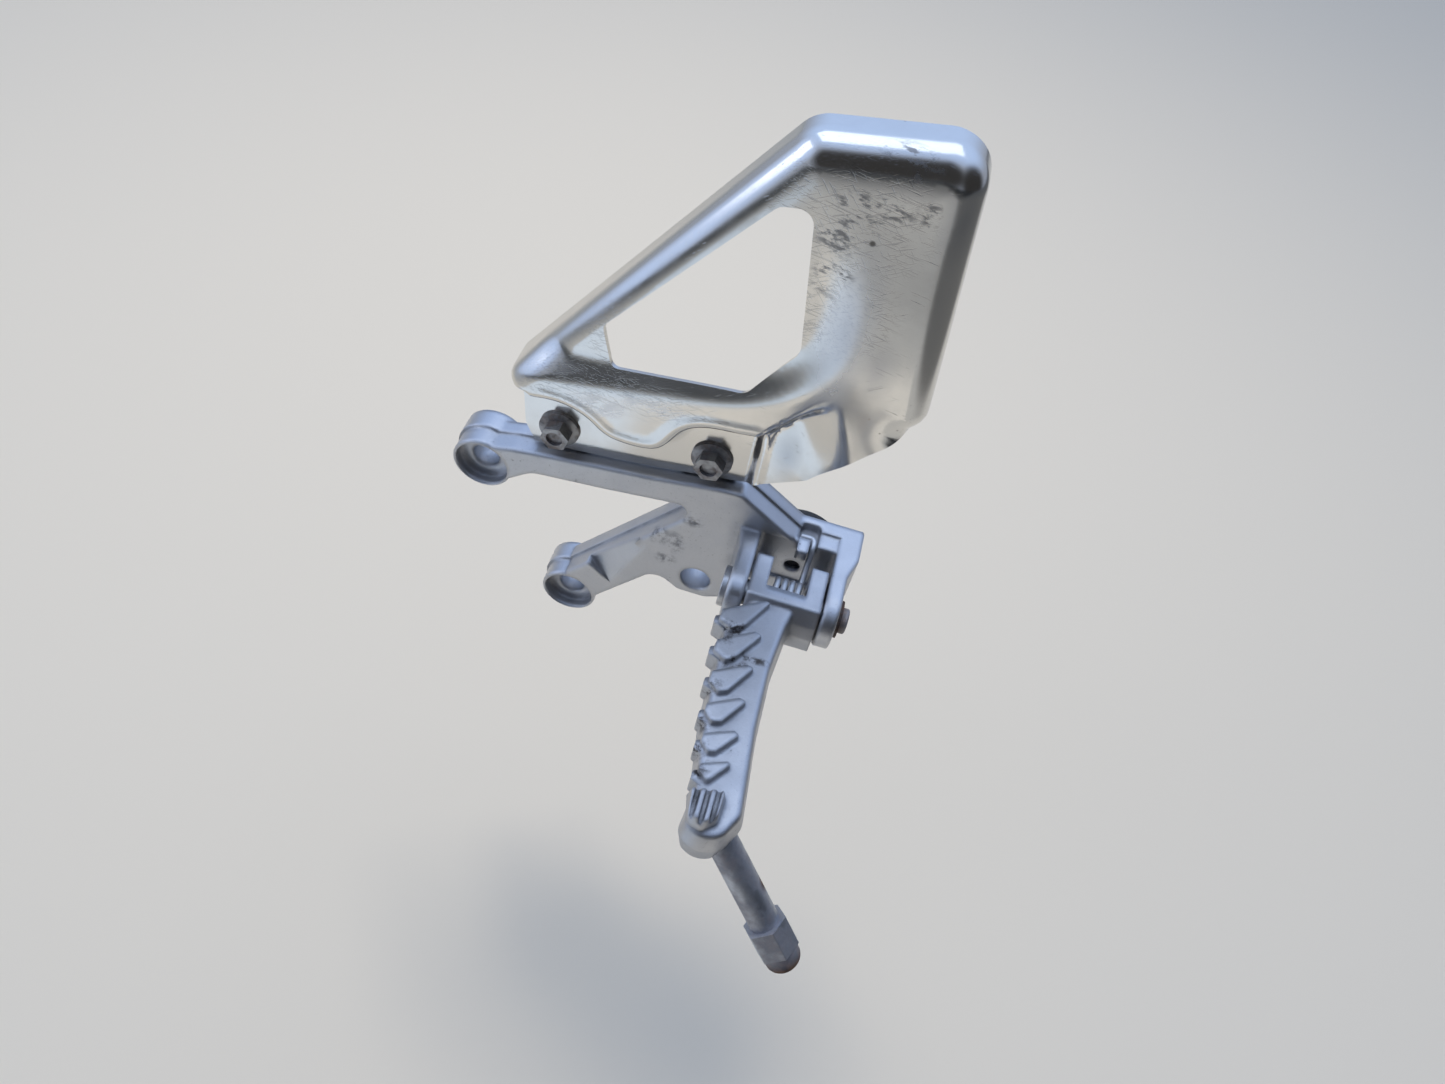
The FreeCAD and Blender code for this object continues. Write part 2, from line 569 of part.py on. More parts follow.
def make_footpeg():
    body = new_body("footpeg")
    left = size("fork_left") + size("knuckle_play")
    sketch = new_sketch(body, "KnuckleProfile", "YZ_Plane", link("fork_left", "knuckle_play"))
    add_outline(sketch, knuckle_profile())
    pad(body, sketch, "Knuckle", link("fork_width", "-knuckle_play", "-knuckle_play"))
    sketch = new_sketch(body, "PegPlan", "XY_Plane", link("peg_waist"))
    add_outline(sketch, peg_corners())
    pad(body, sketch, "PegUpper", link("peg_top", "-peg_waist"), taper=-size("peg_draft"))
    pad(body, sketch, "PegLower", link("peg_waist", "-peg_bottom"), reverse=True, taper=-size("peg_draft"))
    top = size("peg_top")
    round_edges(body, body.Tip, "PegRound", link("peg_round"), lambda edge: is_level(edge, top))

    sketch = new_sketch(body, "RibOutlines", "XY_Plane", link("peg_top"))
    for rib in RIBS:
        add_outline(sketch, [(left + across, front(out), 0.8) for across, out in rib])
    pad(body, sketch, "Ribs", link("rib_height"), taper=-8.0)
    sketch = new_sketch(body, "SideTeeth", "XY_Plane", link("peg_waist"))
    for rib in RIBS:
        across, out = rib[0]
        add_outline(sketch, [(left + across + 2.4, front(out + 0.2), 0),
                             (left + across - 1.1, front(out + 1.6), 0.8),
                             (left + across - 1.2, front(out + 3.9), 0.8),
                             (left + across + 2.4, front(out + 5.4), 0)])
    pad(body, sketch, "ToothedSide", link("peg_top", "-peg_waist"))

    tip = size("peg_tip")
    sketch = new_sketch(body, "CrestOutline", "XY_Plane", link("peg_top"))
    add_outline(sketch, [(left - 0.2, front(tip - 12.0), 1.5), (left + 1.6, front(tip - 3.4), 2.5),
                         (left + 6.2, front(tip - 2.2), 2.5), (left + 9.8, front(tip - 5.2), 2.5),
                         (left + 10.2, front(tip - 14.0), 1.5)])
    pad(body, sketch, "Crest", link("crest_height"), taper=-12.0)
    sketch = new_sketch(body, "ToothGrooves", "XZ_Plane", link("front_depth", "peg_tip"))
    ceiling = size("peg_top") + size("crest_height")
    depth = size("tooth_depth")
    for index in range(3):
        middle = left + 2.5 + 2.7 * index
        add_outline(sketch, [(middle - 1.1, ceiling + 1, 0), (middle - 0.35, ceiling - depth, 0.3),
                             (middle + 0.35, ceiling - depth, 0.3), (middle + 1.1, ceiling + 1, 0)])
    pocket(body, sketch, "Grooves", link("front_depth"), reverse=False)

    slot_floor = new_sketch(body, "SlotCircle", "YZ_Plane", link("slot_left"))
    add_circle(slot_floor, link("-pin_depth"), link("pin_height"), link("slot_radius"))
    pocket(body, slot_floor, "SlotBarrel", link("slot_width"), reverse=True)
    slot = new_sketch(body, "SlotOutline", "YZ_Plane", link("slot_left"))
    axis_y = -size("pin_depth")
    axis_z = size("pin_height")
    reach = size("slot_radius")
    add_outline(slot, [(front(-1.0), size("knuckle_top") + 1, 0),
                       (front(18.6), size("knuckle_top") + 1, 0), (front(18.6), axis_z + reach - 1.0, 0),
                       (axis_y, axis_z, 0), (axis_y, size("knuckle_top") - 24.0, 0),
                       (front(-1.0), size("knuckle_top") - 24.0, 0)])
    pocket(body, slot, "Slot", link("slot_width"), reverse=True)
    sketch = new_sketch(body, "KnuckleBore", "YZ_Plane", link("ear_left"))
    add_circle(sketch, link("-pin_depth"), link("pin_height"), link("pin_radius", "pin_clearance"))
    reach = link("fork_left", "fork_width", "ear_right_width", "pin_tail", "-ear_left")
    pocket(body, sketch, "KnuckleHole", reach, reverse=True)

    relief = new_sketch(body, "UndersideOutline", "XY_Plane", link("peg_bottom"))
    add_outline(relief, [(left - 0.2, front(36), 3), (left + 0.8, front(66), 0),
                         (left + 3.6, front(tip - 19), 3), (left + 11.5, front(tip - 19), 3),
                         (left + 12.0, front(66), 0), (left + 11.6, front(36), 3)])
    pocket(body, relief, "Underside", link("peg_top", "-peg_waist"), reverse=True, taper=-10.0)
    hole = new_sketch(body, "FeelerBore", "XY_Plane", turn=feeler_placement())
    circle = Part.Circle(Vector(0, 0, 0), Vector(0, 0, 1), size("feeler_radius"))
    number = hole.addGeometry(circle)
    hole.addConstraint(Sketcher.Constraint("Coincident", number, 3, -1, 1))
    number = hole.addConstraint(Sketcher.Constraint("Radius", number, size("feeler_radius")))
    hole.setExpression("Constraints[%d]" % number, "Sizes.feeler_radius")
    drill = pocket(body, hole, "FeelerHole", link("feeler_seat"), reverse=True)
    drill.Type2 = "Length"
    drill.SideType = "Two sides"
    drill.Length2 = 30.0
    doc.recompute()
    return body


def feeler_placement():
    """Z runs up the feeler bolt; the origin is on its axis at the peg's waist."""
    side = math.radians(size("feeler_lean_side"))
    out = math.radians(size("feeler_lean_out"))
    upward = Vector(-math.sin(side) * math.cos(out), math.sin(out), math.cos(side) * math.cos(out))
    origin = Vector(size("feeler_x"), front(size("feeler_y")), size("peg_waist"))
    return Placement(origin, Rotation(Vector(0, 0, 1), upward))


def make_pin():
    """Headed pin along X with a groove for the clip near its free end."""
    body = new_body("pivot_pin")
    head_left = size("ear_left_nose") - size("pin_head_length")
    seat = size("ear_left_nose")
    groove = clip_plane()[1]
    end = right_side() + size("pin_tail")
    head = size("pin_head_radius")
    shank = size("pin_radius")
    neck = size("groove_radius")
    width = size("clip_thickness")
    sketch = new_sketch(body, "PinHalf", "XZ_Plane")
    add_outline(sketch, [(head_left, 0, 0), (head_left, head, 0.5), (seat, head, 0.3), (seat, shank, 0),
                         (groove, shank, 0), (groove, neck, 0), (groove + width, neck, 0),
                         (groove + width, shank, 0), (end, shank, 0.7), (end, 0, 0)])
    feature = body.newObject("PartDesign::Revolution", "PinTurned")
    feature.Profile = sketch
    feature.ReferenceAxis = (sketch, ["H_Axis"])
    feature.Angle = 360
    body.Placement = Placement(Vector(0, -size("pin_depth"), size("pin_height")), Rotation())
    return body


def make_clip():
    """Open retaining ring in the pin's groove, with three inner lugs."""
    body = new_body("retaining_clip")
    outer = size("clip_radius")
    inner = size("groove_radius")
    sketch = new_sketch(body, "ClipDisc", "YZ_Plane", clip_plane())
    add_circle(sketch, None, None, link("clip_radius"))
    pad(body, sketch, "ClipBlank", link("clip_thickness"))
    sketch = new_sketch(body, "ClipOpening", "YZ_Plane", clip_plane())
    mouth = inner * 1.75
    add_outline(sketch, [(-outer - 1, mouth / 2, 0), (-inner * 0.5, mouth / 2, 0),
                         (-inner * 0.5, -mouth / 2, 0), (-outer - 1, -mouth / 2, 0)])
    pocket(body, sketch, "ClipMouth", link("clip_thickness"), reverse=True)
    sketch = new_sketch(body, "ClipBore", "YZ_Plane", clip_plane())
    add_circle(sketch, None, None, link("groove_radius", "pin_clearance"))
    pocket(body, sketch, "ClipHole", link("clip_thickness"), reverse=True)
    body.Placement = Placement(Vector(0, -size("pin_depth"), size("pin_height")),
                               Rotation(Vector(1, 0, 0), 52.0))
    return body


def spring_path():
    """Points of the wire: foot on the peg, coils from left to right, leg up to the hook."""
    axis_y = -size("pin_depth")
    axis_z = size("pin_height")
    radius = size("coil_radius")
    pitch = size("coil_pitch")
    left = size("coil_left")
    turns = 3.72
    points = []
    steps = 60
    first = math.radians(250.0)
    for step in range(steps + 1):
        share = step / steps
        angle = first - 2 * math.pi * turns * share
        points.append(Vector(left + pitch * turns * share, axis_y + radius * math.cos(angle),
                             axis_z + radius * math.sin(angle)))
    return points


def make_spring():
    """Round wire wound about the pin; the long leg hooks over the lug of the hanger."""
    body = doc.addObject("Part::Feature", "return_spring")
    body.Label = "return_spring"
    points = spring_path()
    top = size("clevis_top")
    wire = size("wire_radius")
    leg_x = size("lug_left") + size("lug_width") + wire + 0.25
    hook_y = hook_front() + wire + 0.3
    points += [
        Vector(leg_x - 0.1, front(3.6), -0.5),
        Vector(leg_x, front(0.6), top - 3.6),
        Vector(leg_x, front(-1.2), top - 1.6),
        Vector(leg_x - 0.5, hook_y, top - wire - 0.35),
        Vector(leg_x - 2.2, hook_y + 0.3, top - wire - 0.3),
        Vector(leg_x - 4.2, hook_y + 0.4, top - wire - 0.5),
    ]
    curve = Part.BSplineCurve()
    curve.interpolate(points)
    spine = Part.Wire([curve.toShape()])
    section = Part.Circle(points[0], curve.tangent(curve.FirstParameter)[0], wire)
    profile = Part.Wire([section.toShape()])
    body.Shape = spine.makePipeShell([profile], True, True)
    return body


def make_feeler():
    """Ground feeler: threaded end, plain shank, hexagon and domed tip, built along Z."""
    body = new_body("feeler_bolt")
    radius = size("feeler_radius")
    seat = size("feeler_seat")
    shank = -size("feeler_shank")
    hexagon = shank - size("feeler_hex_length")
    tip = hexagon - size("feeler_tip_length")
    tip_radius = size("feeler_tip_radius")
    sketch = new_sketch(body, "ShankHalf", "XZ_Plane")
    add_outline(sketch, [(0, seat - 0.3, 0), (radius - 1.0, seat - 0.3, 0), (radius - 0.05, seat - 1.3, 0),
                         (radius - 0.05, shank - 1, 0), (tip_radius, hexagon + 1.0, 0),
                         (tip_radius, tip, 3.4), (0, tip, 0)])
    feature = body.newObject("PartDesign::Revolution", "ShankTurned")
    feature.Profile = sketch
    feature.ReferenceAxis = (sketch, ["V_Axis"])
    feature.Angle = 360
    sketch = new_sketch(body, "HexOutline", "XY_Plane", link("-feeler_shank", "-feeler_hex_length"))
    across = size("feeler_hex_flats") / math.sqrt(3.0)
    corners = []
    for index in range(6):
        angle = math.radians(60.0 * index + 8.0)
        corners.append((across * math.cos(angle), across * math.sin(angle), 0.4))
    add_outline(sketch, corners)
    pad(body, sketch, "Hexagon", link("feeler_hex_length"))
    body.Placement = feeler_placement()
    return body


def make_guard_bolt(name, across, up):
    """Flanged hexagon bolt with a dished head, built along Z and turned to -Y."""
    body = new_body(name)
    flats = size("guard_bolt_hex")
    length = size("guard_bolt_grip")
    sketch = new_sketch(body, name + "Half", "XZ_Plane")
    head = size("guard_bolt_head")
    flange = size("guard_bolt_flange")
    shank = size("guard_bolt_radius") - size("thread_play")
    add_outline(sketch, [(0, -length, 0), (shank - 0.6, -length, 0), (shank, -length + 0.6, 0),
                         (shank, 0, 0), (flange, 0, 0), (flange, 0.9, 0), (flats / 2 - 0.3, 1.7, 0),
                         (flats / 2 - 0.3, head - 1.2, 0), (2.6, head - 1.2, 0), (2.4, head - 1.6, 0),
                         (0, head - 1.6, 0)])
    feature = body.newObject("PartDesign::Revolution", name + "Turned")
    feature.Profile = sketch
    feature.ReferenceAxis = (sketch, ["V_Axis"])
    feature.Angle = 360
    sketch = new_sketch(body, name + "Hex", "XY_Plane")
    corner = flats / math.sqrt(3.0)
    corners = []
    for index in range(6):
        angle = math.radians(60.0 * index + 12.0)
        corners.append((corner * math.cos(angle), corner * math.sin(angle), 0))
    add_outline(sketch, corners)
    feature = pad(body, sketch, name + "Head", link("guard_bolt_head"))
    sketch = new_sketch(body, name + "Dish", "XY_Plane", link("guard_bolt_head"))
    add_circle(sketch, None, None, link("guard_bolt_dish"))
    pocket(body, sketch, name + "Recess", link("guard_bolt_dish_depth"))
    seat = -size("guard_seat") - size("guard_sheet")
    body.Placement = Placement(Vector(across, seat, up), Rotation(Vector(1, 0, 0), 90))
    return body


def make_rear_pad():
    """Black buffer behind the plate, held by a stem in the hole of the fork floor."""
    body = new_body("rear_buffer")
    sketch = new_sketch(body, "BufferDisc", "XZ_Plane", link("plate_depth"))
    add_circle(sketch, PAD_HOLE_X, link("pad_hole_z"), link("buffer_radius"))
    pad(body, sketch, "Buffer", link("buffer_thickness"), reverse=True)
    sketch = new_sketch(body, "BufferStem", "XZ_Plane", link("plate_depth"))
    add_circle(sketch, PAD_HOLE_X, link("pad_hole_z"), link("pad_hole_radius", "-thread_play"))
    pad(body, sketch, "Stem", link("buffer_stem"))
    return body


def guard_corners(inset):
    """Left, top and right edge of the guard, run on below the part that is kept."""
    return [
        (9.0 + inset, -10.0, 0),
        (7.6 + 1.07 * inset, 41.2 - 0.4 * inset, 6.5 - inset),
        (76.8 + 0.55 * inset, 135.2 - 1.0 * inset, 9 - inset),
        (109.0 - 0.1 * inset, 141.5 - 1.05 * inset, 9 - inset),
        (118.4 - 0.9 * inset, 138.8 - 0.8 * inset, 9 - inset),
        (134.4 - inset, -10.0, 0),
    ]


LOWER_EDGE = [
    (0.0, 39.0, 0),
    (9.0, 38.6, 3),
    (12.2, 33.0, 0),
    (13.0, 20.0, 0),
    (16.5, 12.9, 3),
    (26.0, 13.8, 0),
    (55.0, 17.3, 0),
    (75.5, 20.7, 0),
    (84.5, 21.8, 1.5),
    (86.6, 26.0, 0),
    (88.0, 35.0, 3),
    (101.5, 41.5, 8),
    (114.0, 55.2, 0),
    (121.8, 62.4, 4),
    (125.2, 66.4, 4),
    (127.0, 72.5, 0),
    (140.0, 100.0, 0),
    (140.0, -20.0, 0),
    (0.0, -20.0, 0),
]


def gap_to(point, first, second):
    """Distance in the XZ plane from a point to the line between two corners."""
    start = Vector(first[0], 0, first[1])
    along = Vector(second[0], 0, second[1]) - start
    flat = Vector(point.x, 0, point.z) - start
    share = max(0.0, min(1.0, flat.dot(along) / along.dot(along)))
    return (flat - along * share).Length


def press_guard(name, sheet):
    """Filled form of the guard, or of the hollow one sheet thickness behind its face."""
    body = new_body(name)
    back = link("guard_back") if not sheet else link("guard_hollow_back")
    sketch = new_sketch(body, name + "Outline", "XZ_Plane", back)
    add_outline(sketch, guard_corners(sheet))
    pad(body, sketch, name + "Block", link("guard_bulge"))

    slant = 53.4
    corner = Vector(8.6, 0, 43.2)
    sketch, height = turned_sketch(body, name + "LeanProfile", slant, corner, -90.0)
    panel = sheet - size("guard_panel")
    bulge = sheet - size("guard_bulge")
    rise = height - 82.0
    add_outline(sketch, [(panel, height + 15.0, 0), (panel, height - 3.0, 0), (bulge, rise, 0),
                         (bulge - 30.0, rise, 0), (bulge - 30.0, height + 15.0, 0)])
    pocket(body, sketch, name + "Lean", link("guard_lean_length"), reverse=True)
    doc.recompute()
    walls = guard_corners(sheet)

    def on_rim(edge):
        middle = edge.valueAt((edge.FirstParameter + edge.LastParameter) / 2)
        if max(v.Point.y for v in edge.Vertexes) > -size("guard_seat") - 2 or middle.z < 0:
            return False
        return min(gap_to(middle, a, b) for a, b in zip(walls, walls[1:])) < 2.8

    radius = link("guard_rim") if not sheet else link("guard_rim", "-guard_sheet")
    round_edges(body, body.Tip, name + "Rim", radius, on_rim)

    floor = link("guard_panel") if not sheet else link("guard_panel", "-guard_sheet")
    sketch = new_sketch(body, name + "PanelOutline", "XZ_Plane", floor)
    out = 0.63 * sheet / 2.0
    add_outline(sketch, [(-10.0, 47.0 - out, 0), (21.9, 52.4 - out, 0), (52.8, 58.2 - out, 0),
                         (75.4, 60.6 - out, 0), (88.5 + out, 66.0 - out, 0), (98.6 + out, 74.5 - out, 0),
                         (94.4 + out, 92.0, 0), (79.0 + out, 150.0, 0), (-10.0, 150.0, 0)])
    pocket(body, sketch, name + "Panel", link("guard_bulge"), reverse=True, taper=55.0)

    seat = link("guard_seat", "guard_sheet") if not sheet else link("guard_seat")
    sketch = new_sketch(body, name + "FlangeOutline", "XZ_Plane", seat)
    add_outline(sketch, [(0.0, 38.0 + sheet, 0), (26.5, 40.4 + sheet, 9), (38.5, 31.8 + sheet, 9),
                         (57.5, 32.6 + sheet, 6), (64.0 - sheet / 2, 46.8 + sheet, 8),
                         (84.6 + sheet, 48.0 + sheet, 0), (84.6 + sheet, -5.0, 0), (0.0, -5.0, 0)])
    pocket(body, sketch, name + "Flange", link("guard_bulge"), reverse=True)

    corner = Vector(84.3, 0, 47.9)
    sketch, height = turned_sketch(body, name + "FacetProfile", 51.9, corner, -20.0)
    ridge = height + sheet
    root = -size("guard_seat") - size("guard_sheet") + sheet
    add_outline(sketch, [(bulge - 9, ridge + 1.5, 0), (root, ridge, 0), (bulge, height - 17.0, 0),
                         (bulge - 9, height - 17.0, 0)])
    pocket(body, sketch, name + "Facet", link("guard_facet"), reverse=True)
    if not sheet:
        sketch = new_sketch(body, name + "LowerEdge", "XZ_Plane", link("guard_back"))
        add_outline(sketch, LOWER_EDGE)
        pocket(body, sketch, name + "Trim", link("guard_bulge"), reverse=True)
    doc.recompute()
    return body


def make_guard():
    """Pressed sheet, open at the back and along its lower edge."""
    body = press_guard("heel_guard", 0.0)
    hollow = press_guard("guard_hollow", size("guard_sheet"))
    shell = body.newObject("PartDesign::Boolean", "GuardShell")
    shell.Type = "Cut"
    shell.setObjects([hollow])
    body.Tip = shell
    doc.recompute()

    sketch = new_sketch(body, "WindowOutline", "XZ_Plane")
    add_outline(sketch, [(35.4, 68.6, 2.5), (39.0, 56.0, 3.0), (77.2, 61.6, 4.0), (88.6, 78.6, 5.0),
                         (82.9, 119.6, 4.0), (74.6, 118.0, 3.5)])
    pocket(body, sketch, "Window", link("guard_bulge"), reverse=True)
    sketch = new_sketch(body, "GuardHoles", "XZ_Plane")
    radius = link("guard_bolt_radius", "bolt_clearance")
    add_circle(sketch, link("guard_bolt_x"), link("guard_bolt_z"), radius)
    add_circle(sketch, link("guard_bolt_x", "guard_bolt_step_x"),
               link("guard_bolt_z", "guard_bolt_step_z"), radius)
    pocket(body, sketch, "GuardBoltHoles", link("guard_bulge"), reverse=True)
    doc.recompute()
    return body


hanger = make_hanger()
guard = make_guard()
peg = make_footpeg()
pin = make_pin()
clip = make_clip()
spring = make_spring()
feeler = make_feeler()
buffer = make_rear_pad()
first_bolt = make_guard_bolt("guard_bolt_left", size("guard_bolt_x"), size("guard_bolt_z"))
second_bolt = make_guard_bolt("guard_bolt_right", size("guard_bolt_x") + size("guard_bolt_step_x"),
                              size("guard_bolt_z") + size("guard_bolt_step_z"))
bolts = doc.addObject("Part::Compound", "heel_guard_bolts")
bolts.Label = "heel_guard_bolts"
bolts.Links = [first_bolt, second_bolt]
doc.recompute()

NODES = [hanger, guard, peg, pin, clip, spring, feeler, buffer, bolts]
for item in doc.Objects:
    if "Invalid" in item.State or "Error" in item.State:
        raise RuntimeError("%s did not compute" % item.Name)
for node in NODES:
    if node.Shape.isNull() or not node.Shape.isValid():
        raise RuntimeError("%s has no valid shape" % node.Label)
    node.Shape.exportStep("parts/%s.step" % node.Label)
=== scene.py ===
import math

import bmesh
import bpy
from mathutils import Matrix, Vector
from mathutils.geometry import delaunay_2d_cdt
from mathutils.kdtree import KDTree


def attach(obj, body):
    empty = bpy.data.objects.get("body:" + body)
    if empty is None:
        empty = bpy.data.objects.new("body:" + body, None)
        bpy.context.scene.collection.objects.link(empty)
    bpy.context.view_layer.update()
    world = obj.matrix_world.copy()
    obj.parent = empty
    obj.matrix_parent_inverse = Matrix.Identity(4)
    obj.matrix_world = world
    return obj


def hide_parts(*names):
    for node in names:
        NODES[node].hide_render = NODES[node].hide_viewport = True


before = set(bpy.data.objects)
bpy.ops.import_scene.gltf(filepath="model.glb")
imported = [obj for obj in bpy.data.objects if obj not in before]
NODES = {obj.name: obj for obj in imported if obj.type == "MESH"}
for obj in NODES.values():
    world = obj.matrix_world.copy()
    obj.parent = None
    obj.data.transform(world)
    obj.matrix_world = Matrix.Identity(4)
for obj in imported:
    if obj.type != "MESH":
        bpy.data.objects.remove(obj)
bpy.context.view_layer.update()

MM = 0.001

# Camera in the part's frame, from the photograph's bores, bolts and edges
CAMERA_PLACE = Vector((92.29, -229.5, 251.11)) * MM
CAMERA_RIGHT = Vector((0.9577, 0.239, 0.16))
CAMERA_UP = Vector((-0.2856, 0.725, 0.6268))
IMAGE_WIDTH = 1445
FOCAL_PIXELS = 1043.0
SENSOR = 36.0

FLOOR_HEIGHT = -0.2
FLOOR_SIZE = 6.0
FLOOR_COLOR = (0.6, 0.524, 0.41, 1.0)
FLOOR_TONE = (0.04, 0.04, 0.04, 1.0)
BACKGROUND = (0.617, 0.617, 0.617, 1.0)
ROOM_PALE = (0.36, 0.41, 0.52, 1.0)
BLACK = (0.0, 0.0, 0.0, 1.0)
ROOM_DARK = (0.04, 0.04, 0.042, 1.0)
ROOM_SKY = (0.56, 0.76, 1.2, 1.0)
ROOM_LEFT = (0.62, 0.8, 1.22, 1.0)

# Where the floor goes dark and how far, in metres: start, end, tone at the start
FLOOR_FRONT = (-1.2, -0.5, 0.16)
FLOOR_SIDE = (0.63, 0.48, 0.3)
FLOOR_SKEW = -0.2

# Patches of the room: direction, cosines where each starts and is full, colour
ROOM_PATCHES = [((0.0, 0.45, 0.9), 0.3, 0.85, ROOM_SKY), ((-0.9, -0.2, 0.35), 0.75, 0.97, ROOM_LEFT),
                ((0.05, -0.9, 0.38), 0.72, 0.92, ROOM_DARK), ((0.9, -0.35, 0.15), 0.7, 0.92, ROOM_DARK)]

# Lamps: name, place, target and size in metres, watts, colour, seen in mirrors
LAMPS = [("sky", (0.0, 0.28, 1.05), (0.08, 0.0, 0.02), (1.0, 0.8), 2.3, (0.88, 0.94, 1.0), True),
         ("shadow", (-0.08, 0.42, 1.05), (0.05, 0.2, -0.2), (0.4, 0.4), 8.0, (1.0, 0.98, 0.95), False),
         ("low", (-0.15, -0.42, -0.185), (-0.15, -0.42, 0.0), (0.3, 0.45), 0.21, (0.42, 0.66, 1.0), True),
         ("front", (0.15, -0.34, -0.185), (0.15, -0.34, 0.0), (0.3, 0.2), 0.045, (1.0, 0.94, 0.84), True),
         ("left", (-0.8, -0.2, 0.5), (0.05, 0, 0.05), (0.5, 0.6), 0.9, (0.92, 0.95, 1.0), True)]


# Colours of painted corner shade, dirt, marks and rust

# Painted shade for the corners of the cast parts, tinted like dust
CORNER_SHADE = (0.09, 0.075, 0.06, 1.0)
GREASE = (0.06, 0.042, 0.028, 1.0)
PIT = (0.05, 0.045, 0.04, 1.0)
CUT = (0.2, 0.19, 0.19, 1.0)
GLINT = (0.95, 0.96, 1.0, 1.0)
RUST_DARK = (0.05, 0.03, 0.022, 1.0)
RUST_PALE = (0.17, 0.085, 0.045, 1.0)


def feed(tree, socket, value):
    """Sets a socket to a value, or links it if the value is an output."""
    if isinstance(value, bpy.types.NodeSocket):
        tree.links.new(value, socket)
    else:
        socket.default_value = value


class Nodes:
    """A material's node tree with short calls for the nodes used here."""

    def __init__(self, name):
        self.material = bpy.data.materials.new(name)
        self.material.use_nodes = True
        self.tree = self.material.node_tree
        self.shader = self.tree.nodes["Principled BSDF"]
        self.place = self.new("ShaderNodeTexCoord").outputs["Object"]

    def new(self, kind):
        return self.tree.nodes.new(kind)

    def link(self, source, target):
        self.tree.links.new(source, target)

    def feed(self, socket, value):
        feed(self.tree, socket, value)

    def stretched(self, stretch, turn=(0.0, 0.0, 0.0), shift=(0.0, 0.0, 0.0)):
        """Coordinates whose own axes are turned by angles and then stretched."""
        node = self.new("ShaderNodeMapping")
        node.vector_type = "TEXTURE"
        self.link(self.place, node.inputs["Vector"])
        node.inputs["Scale"].default_value = stretch
        node.inputs["Rotation"].default_value = [math.radians(angle) for angle in turn]
        node.inputs["Location"].default_value = shift
        return node.outputs["Vector"]

    def noise(self, scale, detail=3.0, rough=0.55, vector=None):
        node = self.new("ShaderNodeTexNoise")
        self.link(vector or self.place, node.inputs["Vector"])
        node.inputs["Scale"].default_value = scale
        node.inputs["Detail"].default_value = detail
        node.inputs["Roughness"].default_value = rough
        return node.outputs["Fac"]

    def cells(self, scale):
        node = self.new("ShaderNodeTexVoronoi")
        self.link(self.place, node.inputs["Vector"])
        node.inputs["Scale"].default_value = scale
        return node.outputs["Distance"]

    def ramp(self, source, low, high, out_low=0.0, out_high=1.0):
        node = self.new("ShaderNodeMapRange")
        self.link(source, node.inputs["Value"])
        node.inputs["From Min"].default_value = low
        node.inputs["From Max"].default_value = high
        node.inputs["To Min"].default_value = out_low
        node.inputs["To Max"].default_value = out_high
        return node.outputs["Result"]

    def math(self, operation, first, second=0.5):
        node = self.new("ShaderNodeMath")
        node.operation = operation
        node.use_clamp = operation in ("ADD", "MULTIPLY", "SUBTRACT")
        self.feed(node.inputs[0], first)
        self.feed(node.inputs[1], second)
        return node.outputs[0]

    def mix(self, share, first, second):
        node = self.new("ShaderNodeMix")
        node.data_type = "RGBA"
        self.feed(node.inputs["Factor"], share)
        self.feed(node.inputs[6], first)
        self.feed(node.inputs[7], second)
        return node.outputs[2]

    def near(self, centre, radii):
        """1 at a place in millimetres, falling to 0 at the radii along X, Y and Z."""
        if not isinstance(radii, tuple):
            radii = (radii, radii, radii)
        offset = self.new("ShaderNodeVectorMath")
        offset.operation = "SUBTRACT"
        self.link(self.place, offset.inputs[0])
        offset.inputs[1].default_value = [value * MM for value in centre]
        shaped = self.new("ShaderNodeVectorMath")
        shaped.operation = "DIVIDE"
        self.link(offset.outputs[0], shaped.inputs[0])
        shaped.inputs[1].default_value = [value * MM for value in radii]
        length = self.new("ShaderNodeVectorMath")
        length.operation = "LENGTH"
        self.link(shaped.outputs[0], length.inputs[0])
        return self.ramp(length.outputs["Value"], 0.0, 1.0, 1.0, 0.0)

    def any_near(self, places):
        """The largest of several places' values."""
        value = None
        for centre, radii in places:
            here = self.near(centre, radii)
            value = here if value is None else self.math("MAXIMUM", value, here)
        return value

    def crevice(self, distance):
        """1 in corners that other surfaces crowd, 0 in the open."""
        node = self.new("ShaderNodeAmbientOcclusion")
        node.samples = 8
        node.only_local = True
        node.inputs["Distance"].default_value = distance * MM
        return self.ramp(node.outputs["AO"], 0.35, 0.95, 1.0, 0.0)

    def soft_edges(self, radius):
        """Normals that turn softly across the edges of a hard form."""
        node = self.new("ShaderNodeBevel")
        node.samples = 6
        node.inputs["Radius"].default_value = radius * MM
        return node.outputs["Normal"]

    def bump(self, height, distance, strength=1.0, below=None):
        node = self.new("ShaderNodeBump")
        node.inputs["Distance"].default_value = distance * MM
        node.inputs["Strength"].default_value = strength
        self.link(height, node.inputs["Height"])
        if below is not None:
            self.link(below, node.inputs["Normal"])
        return node.outputs["Normal"]

    def finish(self, color, roughness, normal=None, metallic=1.0):
        self.feed(self.shader.inputs["Base Color"], color)
        self.feed(self.shader.inputs["Roughness"], roughness)
        self.feed(self.shader.inputs["Metallic"], metallic)
        if normal is not None:
            self.link(normal, self.shader.inputs["Normal"])
        return self.material


def darker(color, share):
    """A colour with its channels multiplied by the share."""
    return [channel * share for channel in color[:3]] + [1.0]


